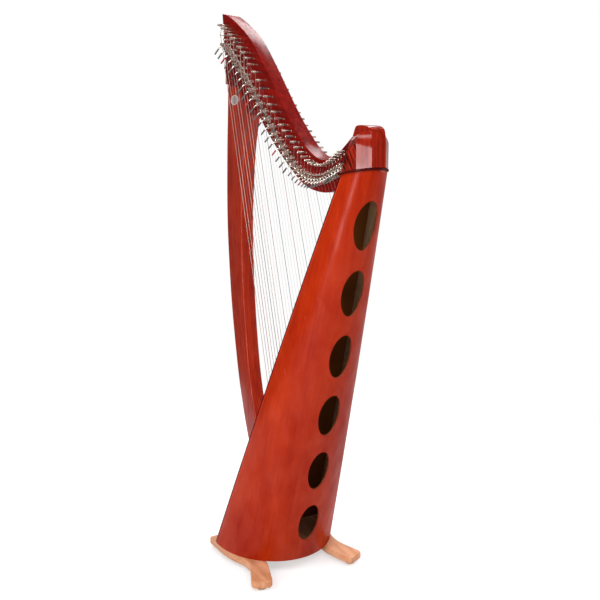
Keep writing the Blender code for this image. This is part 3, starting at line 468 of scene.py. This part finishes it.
class Shape:
    """Grids of points gathered into one mesh."""

    def __init__(self):
        self.points, self.faces, self.slots, self.count = [], [], [], 0

    def grid(self, rows, slot=0, closed=True, caps=True):
        """Add a surface from rows of points: closed rings with flat end caps, unless told otherwise."""
        rows = np.asarray(rows, float)
        high, wide = rows.shape[:2]
        index = np.arange(high * wide).reshape(high, wide) + self.count
        follow = np.roll(index, -1, axis=1)
        span = slice(None) if closed else slice(0, wide - 1)
        quads = np.stack([index[:-1, span], index[1:, span], follow[1:, span], follow[:-1, span]], axis=-1)
        added = quads.reshape(-1, 4).tolist()
        if caps:
            added += [index[0].tolist(), index[-1][::-1].tolist()]
        self.faces += added
        self.slots += [slot] * len(added)
        self.points.append(rows.reshape(-1, 3))
        self.count += high * wide
        return self

    def sheet(self, rows, slot=0):
        """Add a surface that is open on all sides."""
        return self.grid(rows, slot, closed=False, caps=False)

    def object(self, name, materials, weld=False):
        """Blender object of the shape, with corners that meet joined where asked and faces outward."""
        mesh = bpy.data.meshes.new(name)
        mesh.from_pydata(np.vstack(self.points).tolist(), [], self.faces)
        for key in materials:
            mesh.materials.append(MATERIALS[key])
        mesh.polygons.foreach_set("material_index", self.slots)
        work = bmesh.new()
        work.from_mesh(mesh)
        if weld:
            bmesh.ops.remove_doubles(work, verts=work.verts, dist=WELD)
        bmesh.ops.recalc_face_normals(work, faces=work.faces)
        work.to_mesh(mesh)
        work.free()
        made = bpy.data.objects.new(name, mesh)
        bpy.context.scene.collection.objects.link(made)
        return made


def dress(made, body=ROOT, replaces=(), crease=30, rounding=0.0):
    """Shade a piece smoothly up to its creases, round them where asked, and tie it to its body."""
    made.data.shade_smooth()
    made.data.set_sharp_from_angle(angle=math.radians(crease))
    if rounding:
        bevel = made.modifiers.new("worn edges", "BEVEL")
        bevel.width = rounding
        bevel.segments = 2
        bevel.limit_method = "ANGLE"
        bevel.angle_limit = math.radians(crease)
        bevel.harden_normals = True
    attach(made, body)
    if replaces:
        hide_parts(*replaces)
    return made


def place(xz, y):
    """Points in space from points in the plane of the neck and distances to the side."""
    xz = np.asarray(xz, float)
    return np.stack(np.broadcast_arrays(xz[..., 0] + TOE_X, y, xz[..., 1]), axis=-1)


def smooth(points, steps):
    """Catmull-Rom curve through the points, with a number of steps between neighbours."""
    given = np.array(points, float)
    ends = np.vstack([2 * given[0] - given[1], given, 2 * given[-1] - given[-2]])
    t = np.linspace(0, 1, steps, endpoint=False)[:, None]
    runs = [0.5 * (2 * b + (c - a) * t + (2 * a - 5 * b + 4 * c - d) * t ** 2
                   + (3 * b - a - 3 * c + d) * t ** 3)
            for a, b, c, d in zip(ends, ends[1:], ends[2:], ends[3:])]
    return np.vstack(runs + [given[-1:]])


def unit(vectors):
    """Vectors made one long."""
    return vectors / np.linalg.norm(vectors, axis=-1, keepdims=True)


def inset(outline, distance):
    """Move every corner of a closed outline inwards by the distance, square to the outline's run there."""
    before = outline - np.roll(outline, 1, axis=0)
    after = np.roll(outline, -1, axis=0) - outline
    turn = unit(unit(before) + unit(after))
    inward = np.stack([-turn[:, 1], turn[:, 0]], axis=1)
    following = np.roll(outline, -1, axis=0)
    area = np.sum(outline[:, 0] * following[:, 1] - outline[:, 1] * following[:, 0])
    return outline + inward * distance * np.sign(area)


def slab(outline, y_low, y_high, ease, steps=3):
    """Rings of an outline in the plane of the neck, with edges rounded by quarter circles."""
    turn = np.linspace(0, math.pi / 2, steps + 1)
    levels = [(y_low + ease * (1 - math.cos(a)), ease * (1 - math.sin(a))) for a in turn]
    levels += [(y_high + y_low - y, distance) for y, distance in levels[::-1]]
    return np.array([place(inset(outline, distance), y) for y, distance in levels])


def rounded_rectangle(half_wide, half_high, ease, steps):
    """Offsets round a rectangle from its centre, with a quarter circle of radius ease at each corner."""
    quarter = np.linspace(0, math.pi / 2, steps + 1)[:, None]
    corners = []
    for number, corner in enumerate(((1, 1), (-1, 1), (-1, -1), (1, -1))):
        angles = quarter + number * math.pi / 2
        middle = [corner[0] * (half_wide - ease), corner[1] * (half_high - ease)]
        corners.append(middle + ease * np.hstack([np.cos(angles), np.sin(angles)]))
    return np.vstack(corners)


def circle(count, turn=0.0):
    """Columns of the cosines and sines of even angles round a circle, from a first turn."""
    angles = turn + np.arange(count)[:, None] * 2 * math.pi / count
    return np.cos(angles), np.sin(angles)


def circle_frame(direction):
    """A direction made one long, and two unit vectors square to it."""
    direction = unit(np.asarray(direction, float))
    helper = (0.0, 0.0, 1.0) if abs(direction[2]) < 0.9 else (1.0, 0.0, 0.0)
    across = unit(np.cross(helper, direction))
    return direction, across, np.cross(direction, across)


def lathe(start, direction, profile, sides, turn=0.0):
    """Rings of a turned shape: the profile lists distance along the axis and radius."""
    direction, across, third = circle_frame(direction)
    cos, sin = circle(sides, turn)
    profile = np.asarray(profile, float)[:, None]
    return start + profile[..., :1] * direction + profile[..., 1:] * (cos * across + sin * third)


def tube(path, radius, sides):
    """Rings along a path, square to it, each turned as little as can be from the one before."""
    steps = unit(np.gradient(path, axis=0))
    side = circle_frame(steps[0])[1]
    cos, sin = circle(sides)
    rings = []
    for point, step, size in zip(path, steps, np.broadcast_to(radius, len(path))):
        side = unit(side - step * (side @ step))
        rings.append(point + size * (cos * side + sin * np.cross(step, side)))
    return np.array(rings)


def cut(target, shape):
    """Cut a shape out of a piece. The cut's walls take the shape's own slot of the piece."""
    tool = shape.object("tool", [])
    change = target.modifiers.new("cut", "BOOLEAN")
    change.solver = "EXACT"
    change.operation = "DIFFERENCE"
    change.object = tool
    change.material_mode = "INDEX"
    bpy.context.view_layer.update()
    evaluated = target.evaluated_get(bpy.context.evaluated_depsgraph_get())
    result = bpy.data.meshes.new_from_object(evaluated)
    target.modifiers.clear()
    target.data = result
    bpy.data.objects.remove(tool)


# Soundbox

def board_point(share, out=0.0):
    """Point on the soundboard's back plane, moved out of it."""
    share = np.asarray(share, float)[..., None]
    return BOARD_TOE + BOARD_UP * BOARD_LENGTH * share + BOARD_OUT * out


def half_width(share):
    """Half the soundbox's width: a straight taper plus a parabola for the slight bulge."""
    return TOE_HALF_WIDTH + (TOP_HALF_WIDTH - TOE_HALF_WIDTH) * share + 4 * SIDE_BULGE * share * (1 - share)


def section(share, angles, wall=0.0):
    """Half ellipse of the vaulted back: a share of the board's length, and an angle round the back."""
    share, angles = np.broadcast_arrays(share, angles)
    depth = TOE_DEPTH + (TOP_DEPTH - TOE_DEPTH) * share - wall
    tilt = TOP_TILT * share
    base = board_point(share)
    return np.stack([base[..., 0] + TOE_X + depth * np.cos(angles) * np.cos(tilt),
                     (half_width(share) - wall) * np.sin(angles),
                     base[..., 1] + depth * np.cos(angles) * np.sin(tilt)], axis=-1)


def vaulted_back():
    """Moulded shell between two half ellipses carried up the board, with six tall oval holes cut out."""
    shares = np.linspace(0, 1, 61)[:, None]
    angles = np.linspace(-math.pi / 2, math.pi / 2, 97)
    outer, inner = section(shares, angles), section(shares, angles, SHELL_WALL)
    shape = Shape().sheet(outer).sheet(inner, 1)
    for rim in ((outer[0], inner[0]), (outer[-1], inner[-1]), (outer[:, 0], inner[:, 0]),
                (outer[:, -1], inner[:, -1])):
        shape.sheet(rim, 2)
    shell = shape.object("vaulted_back", ["box_red", "inside", "hole_edge"], weld=True)
    back = unit(section(1.0, 0.0) - section(0.0, 0.0))
    outward = np.array([back[2], 0.0, -back[0]])
    cos, sin = circle(72)
    holes = Shape()
    for share in HOLE_PLACES / BOARD_LENGTH:
        ring = section(share, 0.0) + cos * back * HOLE_HEIGHT / 2 + sin * [0.0, HOLE_WIDTH / 2, 0.0]
        holes.grid([ring + outward * reach for reach in HOLE_CUT], 2)
    cut(shell, holes)
    dress(shell, replaces=["soundbox_shell"], crease=38, rounding=0.0009)


def edge_strips():
    """Bindings down both sides of the soundboard: a rectangle carried along the board's edge."""
    corner = np.array([(-1, -1), (1, -1), (1, 1), (-1, 1)])
    high = 1 - STRIP_FACE * math.tan(math.radians(BOARD_LEAN) + TOP_TILT) / BOARD_LENGTH
    shares = np.linspace(0, high, 40)
    middle, half = (BOARD_FACE + GAP + STRIP_FACE) / 2, (STRIP_FACE - BOARD_FACE - GAP) / 2
    for side, sign in SIDES:
        rings = [place(board_point(share, middle + corner[:, 1:] * half),
                       sign * (half_width(share) - STRIP_WIDTH / 2 + corner[:, 0] * STRIP_WIDTH / 2))
                 for share in shares]
        strip = Shape().grid(rings).object("binding_" + side, ["trim_red"])
        dress(strip, replaces=["edge_strip_" + side], rounding=0.001)


def cap_moulding():
    """Thin plate over the soundbox's top, on a foot flush with the box.

    Its outline is half an ellipse with a flat front. It grows and shrinks with the plate's rounded edge.
    """
    angles = np.linspace(-math.pi / 2, math.pi / 2, 49)
    levels = [(CAP_FOOT + CAP_EASE * (1 - math.cos(a)), CAP_OVERHANG - CAP_EASE * (1 - math.sin(a)))
              for a in np.linspace(0, math.pi / 2, 5)]
    levels += [(CAP_FOOT + CAP_THICK - up, grow) for up, grow in levels[::-1]]
    rings = []
    for up, grow in [(0, 0), (CAP_FOOT, 0)] + levels:
        half = TOP_HALF_WIDTH + grow
        front = -STRIP_FACE / math.cos(TOP_TILT) - grow
        arc = np.column_stack([(TOP_DEPTH + grow) * np.cos(angles), half * np.sin(angles)])
        outline = np.vstack([arc, [[front, half], [front, -half]]])
        rings.append(place(BOARD_TOP + CAP_ALONG * outline[:, :1] + CAP_UP * (GAP + up), outline[:, 1]))
    plate = Shape().grid(rings[:2], 1).grid(rings[1:]).object("cap_moulding", ["trim_red", "box_red"])
    dress(plate, replaces=["cap_plate"], crease=50)


# Neck, shoulder block, pillar and feet

def over_cap(x):
    """Height just above the cap plate, at a distance from the toe."""
    thick = (CAP_THICK + 2 * GAP) / math.cos(TOP_TILT)
    return BOARD_TOP[1] + (x - BOARD_TOP[0]) * math.tan(TOP_TILT) + thick


def block_rings():
    """Six corners of the block at every level: upright to each facet's top, then a quarter turn inwards.

    A corner's height rises with the sine of the level's angle and moves in with one minus its cosine.
    """
    level = np.linspace(0, math.pi / 2, 25)
    rise, roll = np.sin(level), 1 - np.cos(level)
    toe = np.array([BOARD_TOP[0], 0, BOARD_TOP[1]])
    corners = [low + (high - low) * np.stack([roll, roll, rise], axis=1) + toe
               for low, high in ((SHOULDER_SIDE, CREST_SIDE), (SHOULDER_REAR, CREST_REAR))]
    end = NECK_HEAD - NECK_FOOT
    start = (BOARD_TOP[1] + SHOULDER_FRONT_RISE - NECK_FOOT[1]) / end[1]
    up = start + (1 - start) * rise
    front_xz = NECK_FOOT + end * up[:, None]
    flare = (SHOULDER_FRONT_HALF - CREST_SIDE[1]) * (1 - up ** 2)
    front = np.stack([front_xz[:, 0] + GAP, CREST_SIDE[1] + flare, front_xz[:, 1]], axis=1)
    half = np.stack([front] + corners, axis=1)
    sole = half[0].copy()
    sole[0] = [NECK_FOOT[0] + GAP, SHOULDER_FRONT_HALF, 0]
    sole[:, 2] = over_cap(sole[:, 0])
    half = np.concatenate([sole[None], half])
    rings = np.concatenate([half, half[:, ::-1] * [1, -1, 1]], axis=1)
    return rings + [TOE_X, 0, 0]


def shoulder_wood():
    """Faceted block that carries the neck: flared front, rolled shoulders and a hooked middle.

    The flares, from the front corners to the side ones, have a finish of their own.
    """
    rings, block = block_rings(), Shape()
    for corners, slot in (([0, 1], 1), ([1, 2, 3, 4], 0), ([4, 5], 1), ([5, 0], 0)):
        block.sheet(rings[:, corners], slot)
    for ring in (rings[0], rings[-1]):
        block.grid([ring, np.broadcast_to(ring.mean(axis=0), ring.shape)], caps=False)
    block = block.object("shoulder_wood", ["block_red", "flare_red"], weld=True)
    dress(block, replaces=["shoulder_block"], crease=24, rounding=0.0012)
    top = NECK_HEAD + [GAP, 0] + smooth(HOOK, 6)
    end = NECK_HEAD - NECK_FOOT
    low = top[0] - end * HOOK_DEPTH / end[1]
    outline = np.vstack([[low], top, [(top[-1][0], low[1])]])
    middle = Shape().grid(slab(outline, -NECK_HALF, NECK_HALF, HOOK_EASE))
    dress(middle.object("shoulder_hook", ["block_red"]), crease=38)


def neck_wood():
    """Neck profile carried through its thickness, with rounded edges."""
    outline = np.vstack([smooth(HEAD_FRONT, 6)[:-1], smooth(RIDGE, 10), smooth(UNDERSIDE, 6), [SCARF_KNEE]])
    wood = Shape().grid(slab(outline, -NECK_HALF, NECK_HALF, NECK_EASE))
    dress(wood.object("neck_wood", ["neck_red"]), replaces=["neck"], crease=38)


def pillar_column():
    """Bowed column: a rounded rectangle at every station, cut to the soundboard and the neck's scarf.

    Both cutting shapes reach well past the column.
    """
    rings = []
    for station in smooth(PILLAR_STATIONS, 6):
        front, rear = station[:2], station[2:]
        depth = np.linalg.norm(rear - front)
        offsets = rounded_rectangle(depth / 2, PILLAR_HALF, PILLAR_EASE, 6)
        rings.append(place(front + (rear - front) * (0.5 + offsets[:, :1] / depth), offsets[:, 1]))
    column = Shape().grid(rings).object("pillar_column", ["pillar_red"])
    knee = np.array(SCARF_KNEE)
    start, end = (knee + 1.5 * (np.array(tip) - knee) for tip in (HEAD_FRONT[0], UNDERSIDE[-1]))
    below, over = np.array([0, -GAP * 1.5]), np.array([0, 0.2])
    above = np.array([start + below, knee + below, end + below, end + over, start + over])
    behind = [board_point(share, out) for share, out in
              ((-0.2, BOARD_FACE + GAP), (0.5, BOARD_FACE + GAP), (0.5, -TOE_DEPTH), (-0.2, -TOE_DEPTH))]
    for outline in (above, behind):
        cut(column, Shape().grid(place(outline, np.array([[-2], [2]]) * PILLAR_HALF)))
    dress(column, replaces=["pillar"], crease=40)


def badge_plate():
    """Bare badge on the pillar: ovals at every depth, for a domed rim round a sunken field.

    A cap closes the rim inside the column.
    """
    oval = np.hstack(circle(64)) * BADGE_SIZE
    rim, field = ([place(BADGE_CENTRE + oval * share, BADGE_FACE_Y + depth) for depth, share in profile]
                  for profile in (BADGE_RIM, BADGE_FIELD))
    shape = Shape().grid(rim, caps=False).grid(field, 1, caps=False)
    shape.grid([rim[0], rim[0] * 0.999 + rim[0].mean(axis=0) * 0.001])
    badge = shape.object("badge_plate", ["badge_rim", "badge_field"], weld=True)
    dress(badge, replaces=["pillar_badge"], crease=40)


def foot_rails():
    """Beech rails under the box: rounded rectangles carried along a line that curves out at each toe."""
    stations = smooth(RAIL_STATIONS, 8)
    stations[:, 1] = TOE_HALF_WIDTH - stations[:, 1]
    heading = unit(np.gradient(stations[:, :2], axis=0))
    for side, sign in SIDES:
        rings = []
        for (x, y, width, top, under), (run, rise) in zip(stations, heading):
            top = min(top, RIM_Z - GAP)
            reach, up = rounded_rectangle(width / 2, (top - under) / 2, RAIL_EASE, 4).T
            rings.append(np.stack([x - rise * reach + TOE_X, sign * (y + run * reach),
                                   (top + under) / 2 + up], axis=1))
        rail = Shape().grid(rings).object("beech_rail_" + side, ["beech"])
        dress(rail, replaces=["foot_rail_" + side], crease=35, rounding=0.002)
        for end, (x, y) in PADS.items():
            name = end + "_" + side
            pad = Shape().grid(lathe((x + TOE_X, sign * y, 0), (0, 0, 1), PAD_PROFILE, 48))
            dress(pad.object("foot_pad_" + name, ["felt"]), replaces=["pad_" + name])


# Strings, tuning pins and bridge pins. Each goes by its index, from the bass

def pivot_xz(index):
    """Pivot of a lever, in the plane of the neck."""
    pivot = PIVOTS[LEVER_BODIES[index]]
    return np.array([pivot[0] - TOE_X, pivot[2]])


def board_hit(point, out):
    """Where a string through the point meets a plane parallel to the soundboard."""
    reach = (out - (point - BOARD_TOE) @ BOARD_OUT) / (STRING_UP @ BOARD_OUT)
    return point + STRING_UP * reach


# Every string beside its lever's pivot, its length from there to the rib, and its bridge pin's rise
LEVELS = [pivot_xz(index) - STRING_ACROSS * PIVOT_OFFSET * SCALE[index] for index in range(COUNT)]
LENGTHS = [np.linalg.norm(level - board_hit(level, RIB_FACE)) for level in LEVELS]
RISES = np.interp(LENGTHS, (LENGTHS[-1], LENGTHS[0]), BRIDGE_RISES)


def pin_xz(index):
    """Centre of a tuning pin on its row."""
    dense = smooth(PIN_ROW, 8)
    offset = LEVELS[index] @ STRING_ACROSS + PIN_LEAD
    return np.array([np.interp(offset, dense @ STRING_ACROSS, dense[:, axis]) for axis in (0, 1)])


def string_path(index):
    """Middle line of a string: straight from the rib to the bridge pin and the tuning pin, then a helix.

    The string leaves for the tuning pin along the tangent to its winding. The helix turns and moves along
    the pin evenly.
    """
    side = STRING_Y[index]
    foot = board_hit(LEVELS[index], RIB_FACE - STRING_SINK)
    bridge = LEVELS[index] + STRING_UP * RISES[index]
    pin = pin_xz(index)
    reach = PIN_RADIUS + STRING_RADII[index]
    distance = np.linalg.norm(pin - bridge)
    lean = math.atan2(*(pin - bridge)[::-1]) + math.asin(reach / distance)
    last = bridge + math.sqrt(distance ** 2 - reach ** 2) * np.array([math.cos(lean), math.sin(lean)])
    start = math.atan2(*(last - pin)[::-1])
    share = np.linspace(0, 1, 96)
    turns = start - PIN_TURNS * 2 * math.pi * share
    wind = pin + reach * np.stack([np.cos(turns), np.sin(turns)], axis=1)
    lower = np.linspace(0, 1, 8)[:, None]
    run = place(foot + (bridge - foot) * lower, BOARD_STRING_Y + (side - BOARD_STRING_Y) * lower[:, 0])
    upper = np.linspace(0, 1, 4)[1:-1, None]
    link = place(bridge + (last - bridge) * upper, side)
    return np.vstack([run, link, place(wind, side - PIN_WOUND * share)])


def string_band():
    """All strings in four finishes: red C, black F, wound bass and clear."""
    bands = {}
    for index, note in enumerate(NOTES):
        kind = NOTE_COLOURS.get(note, "wound" if index < WOUND_STRINGS else "clear")
        bands.setdefault(kind, Shape()).grid(tube(string_path(index), STRING_RADII[index], 8))
    for kind, shape in bands.items():
        dress(shape.object("strings_" + kind, ["string_" + kind]), crease=60)


def string_rib():
    """Hardwood rib down the soundboard: a bevelled bar, with a turned eyelet for every string."""
    feet = [board_hit(level, RIB_FACE) for level in LEVELS]
    low = (feet[0] - BOARD_TOE) @ BOARD_UP - RIB_ENDS[0]
    edge, half = RIB_FACE - RIB_BEVEL[0], RIB_HALF - RIB_BEVEL[1]
    profile = np.array([(BOARD_FACE + GAP, -RIB_HALF), (BOARD_FACE + GAP, RIB_HALF), (edge, RIB_HALF),
                        (RIB_FACE, half), (RIB_FACE, -half), (edge, -RIB_HALF)])
    along = np.linspace(low, BOARD_LENGTH - RIB_ENDS[1], 24)[:, None, None]
    rings = place(BOARD_TOE + BOARD_UP * along + BOARD_OUT * profile[:, :1], BOARD_STRING_Y + profile[:, 1])
    rib = Shape().grid(rings).object("string_rib", ["beech_up"])
    dress(rib, replaces=["strings_and_rib"])
    eyelets = Shape()
    for foot, radius in zip(feet, STRING_RADII):
        rings = lathe(place(foot, BOARD_STRING_Y), (BOARD_OUT[0], 0, BOARD_OUT[1]), EYELET + [0, radius], 16)
        eyelets.grid(rings)
    dress(eyelets.object("string_eyelets", ["brass"]))


def peg(xz, y, profile, sides, way=-1, turn=0.0):
    """Turned shape square to the neck. It points to the left, or to the right where its way is 1."""
    return lathe(place(xz, y), (0, way, 0), profile, sides, turn)


def tuning_pins():
    """Steel pins through the neck: a turned end for the winding on the left, a square end on the right.

    Every square stands at its own angle, by a sine of its index.
    """
    shape = Shape()
    seat, end = NECK_HALF - PIN_SEAT, PIN_SEAT + PIN_RIGHT
    collar = [(0, 0.0031), (0.008, 0.0031), (0.0095, 0.0029)]
    square = [(0.0090, 0.0033), (0.0100, 0.0031), (end - 0.001, 0.0027), (end, 0.0022)]
    for index in range(COUNT):
        spot = pin_xz(index)
        tip = PIN_SEAT + HEIGHT[index] + PIN_PAST
        profile = [(0, 0.0030), (0.0045, 0.0030), (0.005, PIN_RADIUS), (tip - 0.0035, PIN_RADIUS),
                   (tip - 0.0030, 0.0021), (tip - 0.0022, 0.0021), (tip - 0.0018, PIN_RADIUS),
                   (tip - 0.0006, 0.0023), (tip, 0.0017)]
        tuned = math.pi / 4 + 0.4 * math.sin(3.1 * index)
        for turned in (peg(spot, -seat, profile, 16), peg(spot, seat, collar, 16, 1),
                       peg(spot, seat, square, 4, 1, tuned)):
            shape.grid(turned)
    dress(shape.object("tuning_pins", ["steel"]), crease=35)


def bridge_pins():
    """Turned pins that guide the strings off the neck, each with a groove at its string's height."""
    shape = Shape()
    for index, height in enumerate(HEIGHT):
        beside = BRIDGE_RADIUS + STRING_RADII[index] + GAP
        centre = LEVELS[index] + STRING_UP * RISES[index] + STRING_ACROSS * beside
        profile = [(0, 0.0028), (0.0016, 0.0028), (0.0020, BRIDGE_RADIUS), (height - 0.0016, BRIDGE_RADIUS),
                   (height - 0.0008, 0.0017), (height + 0.0008, 0.0017), (height + 0.0014, BRIDGE_RADIUS),
                   (height + 0.0020, 0.0021), (height + BRIDGE_PAST, 0.0015)]
        shape.grid(peg(centre, -NECK_HALF, profile, 16))
    dress(shape.object("bridge_pins", ["nickel"]), crease=35)


# Levers

def by_level(index, offset):
    """Point beside a string's level: the offset is across and up, in the lever's own scale."""
    return LEVELS[index] + (STRING_ACROSS * offset[0] + STRING_UP * offset[1]) * SCALE[index]


def lever_housings():
    """Base plate, two screws, pivot and fret of every lever: a rounded rectangle and turned pieces."""
    plates, screws, frets, pivots = Shape(), Shape(), Shape(), Shape()
    for index, (scale, height) in enumerate(zip(SCALE, HEIGHT)):
        offsets = rounded_rectangle(PLATE_HALF[0] * scale, PLATE_HALF[1] * scale, PLATE_CORNER, 3)
        outline = by_level(index, PLATE_CENTRE) + offsets[:, :1] * STRING_ACROSS + offsets[:, 1:] * STRING_UP
        plates.grid(slab(outline, PLATE_FACE_Y, -NECK_HALF, ease=0.0005, steps=2))
        for spot in SCREW_PLACES:
            screws.grid(peg(by_level(index, spot), PLATE_FACE_Y, SCREW_HEAD, 12))
        tall = height - PLATE_THICK
        post = [(0, 0.0017), (tall - 0.0012, 0.0017), (tall - 0.0006, 0.0012), (tall + 0.0006, 0.0012),
                (tall + 0.0012, 0.0017), (tall + 0.0026, 0.0017), (tall + 0.0030, 0.0012)]
        frets.grid(peg(by_level(index, FRET_PLACE), PLATE_FACE_Y, np.array(post) * [1, scale], 12))
        tip = tall + HUB_PAST
        pivot = [(0, 0.0013), (tip + 0.0001, 0.0013), (tip + 0.0002, 0.0022), (tip + 0.0010, 0.0021),
                 (tip + 0.0012, 0.0015), (tip - 0.0010, 0.0012)]
        pivots.grid(peg(pivot_xz(index), PLATE_FACE_Y, np.array(pivot) * [1, scale], 14))
    # The plates take the darker steel finish rather than bright plate metal. That darker tone is painted
    # shade behind the levers.
    for name, finish, shape in (("plates", "steel", plates), ("screws", "nickel", screws),
                                ("frets", "brass", frets), ("pivots", "socket", pivots)):
        dress(shape.object("lever_" + name, [finish]), crease=35)


def sharpening_lever(index):
    """Cam lever: a turned hub with a waist and a cam, a bent stem and a sleeve over the stem's end.

    The cam adds the cube of a cosine to the hub's radius. The handle's middle line runs out from the pivot
    and rises from the neck.
    """
    pivot = PIVOTS[LEVER_BODIES[index]] * [1, 0, 1]
    scale = SCALE[index]
    inner, outer = PLATE_FACE_Y - GAP, STRING_Y[index] - HUB_PAST
    cos, sin = circle(28)
    ring = np.hstack([cos, 0 * cos, sin])
    nose = HANDLE_REST + CAM_LEAD
    swell = CAM_SWELL * np.clip(cos * math.cos(nose) + sin * math.sin(nose), 0, 1) ** 3
    levels = [(inner, HUB_BORE, 0), (inner, 0.0036, 0), (inner - 0.0005, HUB_RADIUS, 1),
              (inner - 0.0040, HUB_RADIUS, 1), (inner - 0.0044, HUB_WAIST, 0),
              (inner - 0.0062, HUB_WAIST, 0), (inner - 0.0066, HUB_RADIUS, 1),
              (outer + 0.0006, HUB_RADIUS, 1), (outer, 0.0037, 0), (outer, HUB_BORE, 0),
              (inner, HUB_BORE, 0)]
    rings = [pivot + [0, y, 0] + ring * (radius + swell * cam) * scale for y, radius, cam in levels]
    tip = REACH[index] / scale
    run = np.array([0.0032, 0.0050, HANDLE_BEND, (HANDLE_BEND + tip) / 2, tip - 0.0006])
    root = pivot + [0, outer + 0.0015 * scale + GAP, 0]
    offsets = [run * math.cos(HANDLE_REST), -HANDLE_RISE, run * math.sin(HANDLE_REST)]
    path = root + scale * np.column_stack(offsets)
    stem, sleeve = smooth(path[:4], 4), smooth(path[2:], 8)
    thick = np.full(len(sleeve), SLEEVE_RADIUS)
    thick[[0, 1, -2, -1]] = 0.0013, 0.0016, 0.0016, 0.0010
    shape = Shape().grid(rings, caps=False)
    shape.grid(tube(stem, np.linspace(*STEM_RADII, len(stem)) * scale, 12))
    shape.grid(tube(sleeve, thick * scale, 14), 1)
    kind = NOTE_COLOURS.get(NOTES[index])
    name = LEVER_BODIES[index].replace("_body", "")
    lever = shape.object("cam_" + name, ["nickel", "sleeve_" + (kind or "grey")], weld=True)
    dress(lever, LEVER_BODIES[index], [name], crease=40)


vaulted_back()
edge_strips()
cap_moulding()
shoulder_wood()
neck_wood()
pillar_column()
badge_plate()
foot_rails()
string_band()
string_rib()
tuning_pins()
bridge_pins()
lever_housings()
for number in range(COUNT):
    sharpening_lever(number)

# Solids that show as they are, with a finish of their own
NODE_FINISHES = {
    "soundboard": "board_red", "string_bar": "beech_up", "base_board": "beech", "top_block": "spruce",
    "liner_left": "spruce", "liner_right": "spruce", "brace_lower": "spruce", "brace_upper": "spruce",
    "pillar_bolt": "steel"}
for node, key in NODE_FINISHES.items():
    for slot in frame["nodes"][node].material_slots:
        slot.material = MATERIALS[key]


# Studio

def aim(thing, position, target):
    """Put a camera or lamp at a position, facing a target."""
    thing.location = position
    thing.rotation_euler = Vector(target - position).to_track_quat("-Z", "Y").to_euler()


def around(azimuth, elevation, distance):
    """Point at an angle round the harp. Azimuth 0 is on its left side, 90 behind the soundbox."""
    azimuth, elevation = math.radians(azimuth), math.radians(elevation)
    level = math.cos(elevation)
    way = [math.sin(azimuth) * level, -math.cos(azimuth) * level, math.sin(elevation)]
    return LOOK_AT + distance * np.array(way)


def lamp(name, azimuth, elevation, distance, size, power):
    """Soft lamp that the camera itself doesn't see."""
    data = bpy.data.lights.new(name, "AREA")
    data.shape = "RECTANGLE"
    data.size, data.size_y = size
    data.energy = power
    made = bpy.data.objects.new(name, data)
    bpy.context.scene.collection.objects.link(made)
    made.visible_camera = False
    aim(made, around(azimuth, elevation, distance), LOOK_AT)


def set_camera():
    """Camera of the picture, and a view that leaves colours as they are."""
    scene = bpy.context.scene
    scene.view_settings.view_transform = "Standard"
    scene.camera = bpy.data.objects.new("camera", bpy.data.cameras.new("camera"))
    scene.collection.objects.link(scene.camera)
    scene.camera.data.lens = CAMERA_LENS
    scene.camera.data.sensor_width = CAMERA_SENSOR
    aim(scene.camera, around(**CAMERA_PLACE), LOOK_AT)


def room():
    """White to the camera, plain grey light on the wood, and a dark room with a bright wall in its gloss.

    The gloss turns from dark to white with the cosine between a ray and the way to the wall.
    """
    world = bpy.data.worlds.new("world")
    world.use_nodes = True
    bpy.context.scene.world = world
    sky = Nodes(world.node_tree, "Background")
    direction = sky.node("TexCoord", output="Generated")
    behind = sky.node("VectorMath", {"operation": "DOT_PRODUCT"}, output="Value",
                      i0=direction, i1=BRIGHT_WALL)
    gloss = sky.blend(sky.ramp(behind, 0.25, 0.60), DARK_ROOM, WHITE)
    gloss = sky.blend(sky.node("LightPath", output="Is Camera Ray"), gloss, WHITE)
    sky.feed("Color", sky.blend(sky.seen(), PLAIN_LIGHT, gloss))


def paper_floor():
    """Disc of white paper that takes the harp's shadow."""
    cos, sin = circle(64)
    disc = np.hstack([cos, sin, 0 * cos])
    floor = Shape().grid([disc * PAPER_HOLE, disc * PAPER_RADIUS], caps=False).object("floor", [])
    paper = Finish("white_paper", Base_Color=(*PAPER_TONE, 1.0), Roughness=0.9, Specular_IOR_Level=0.0,
                   Emission_Strength=1.0)
    paper.feed("Emission Color", paper.blend(paper.seen(), BLACK, PAPER_GLOW))
    floor.data.materials.append(paper.material)


set_camera()
for name, look in LAMPS.items():
    lamp(name, *look)
room()
paper_floor()
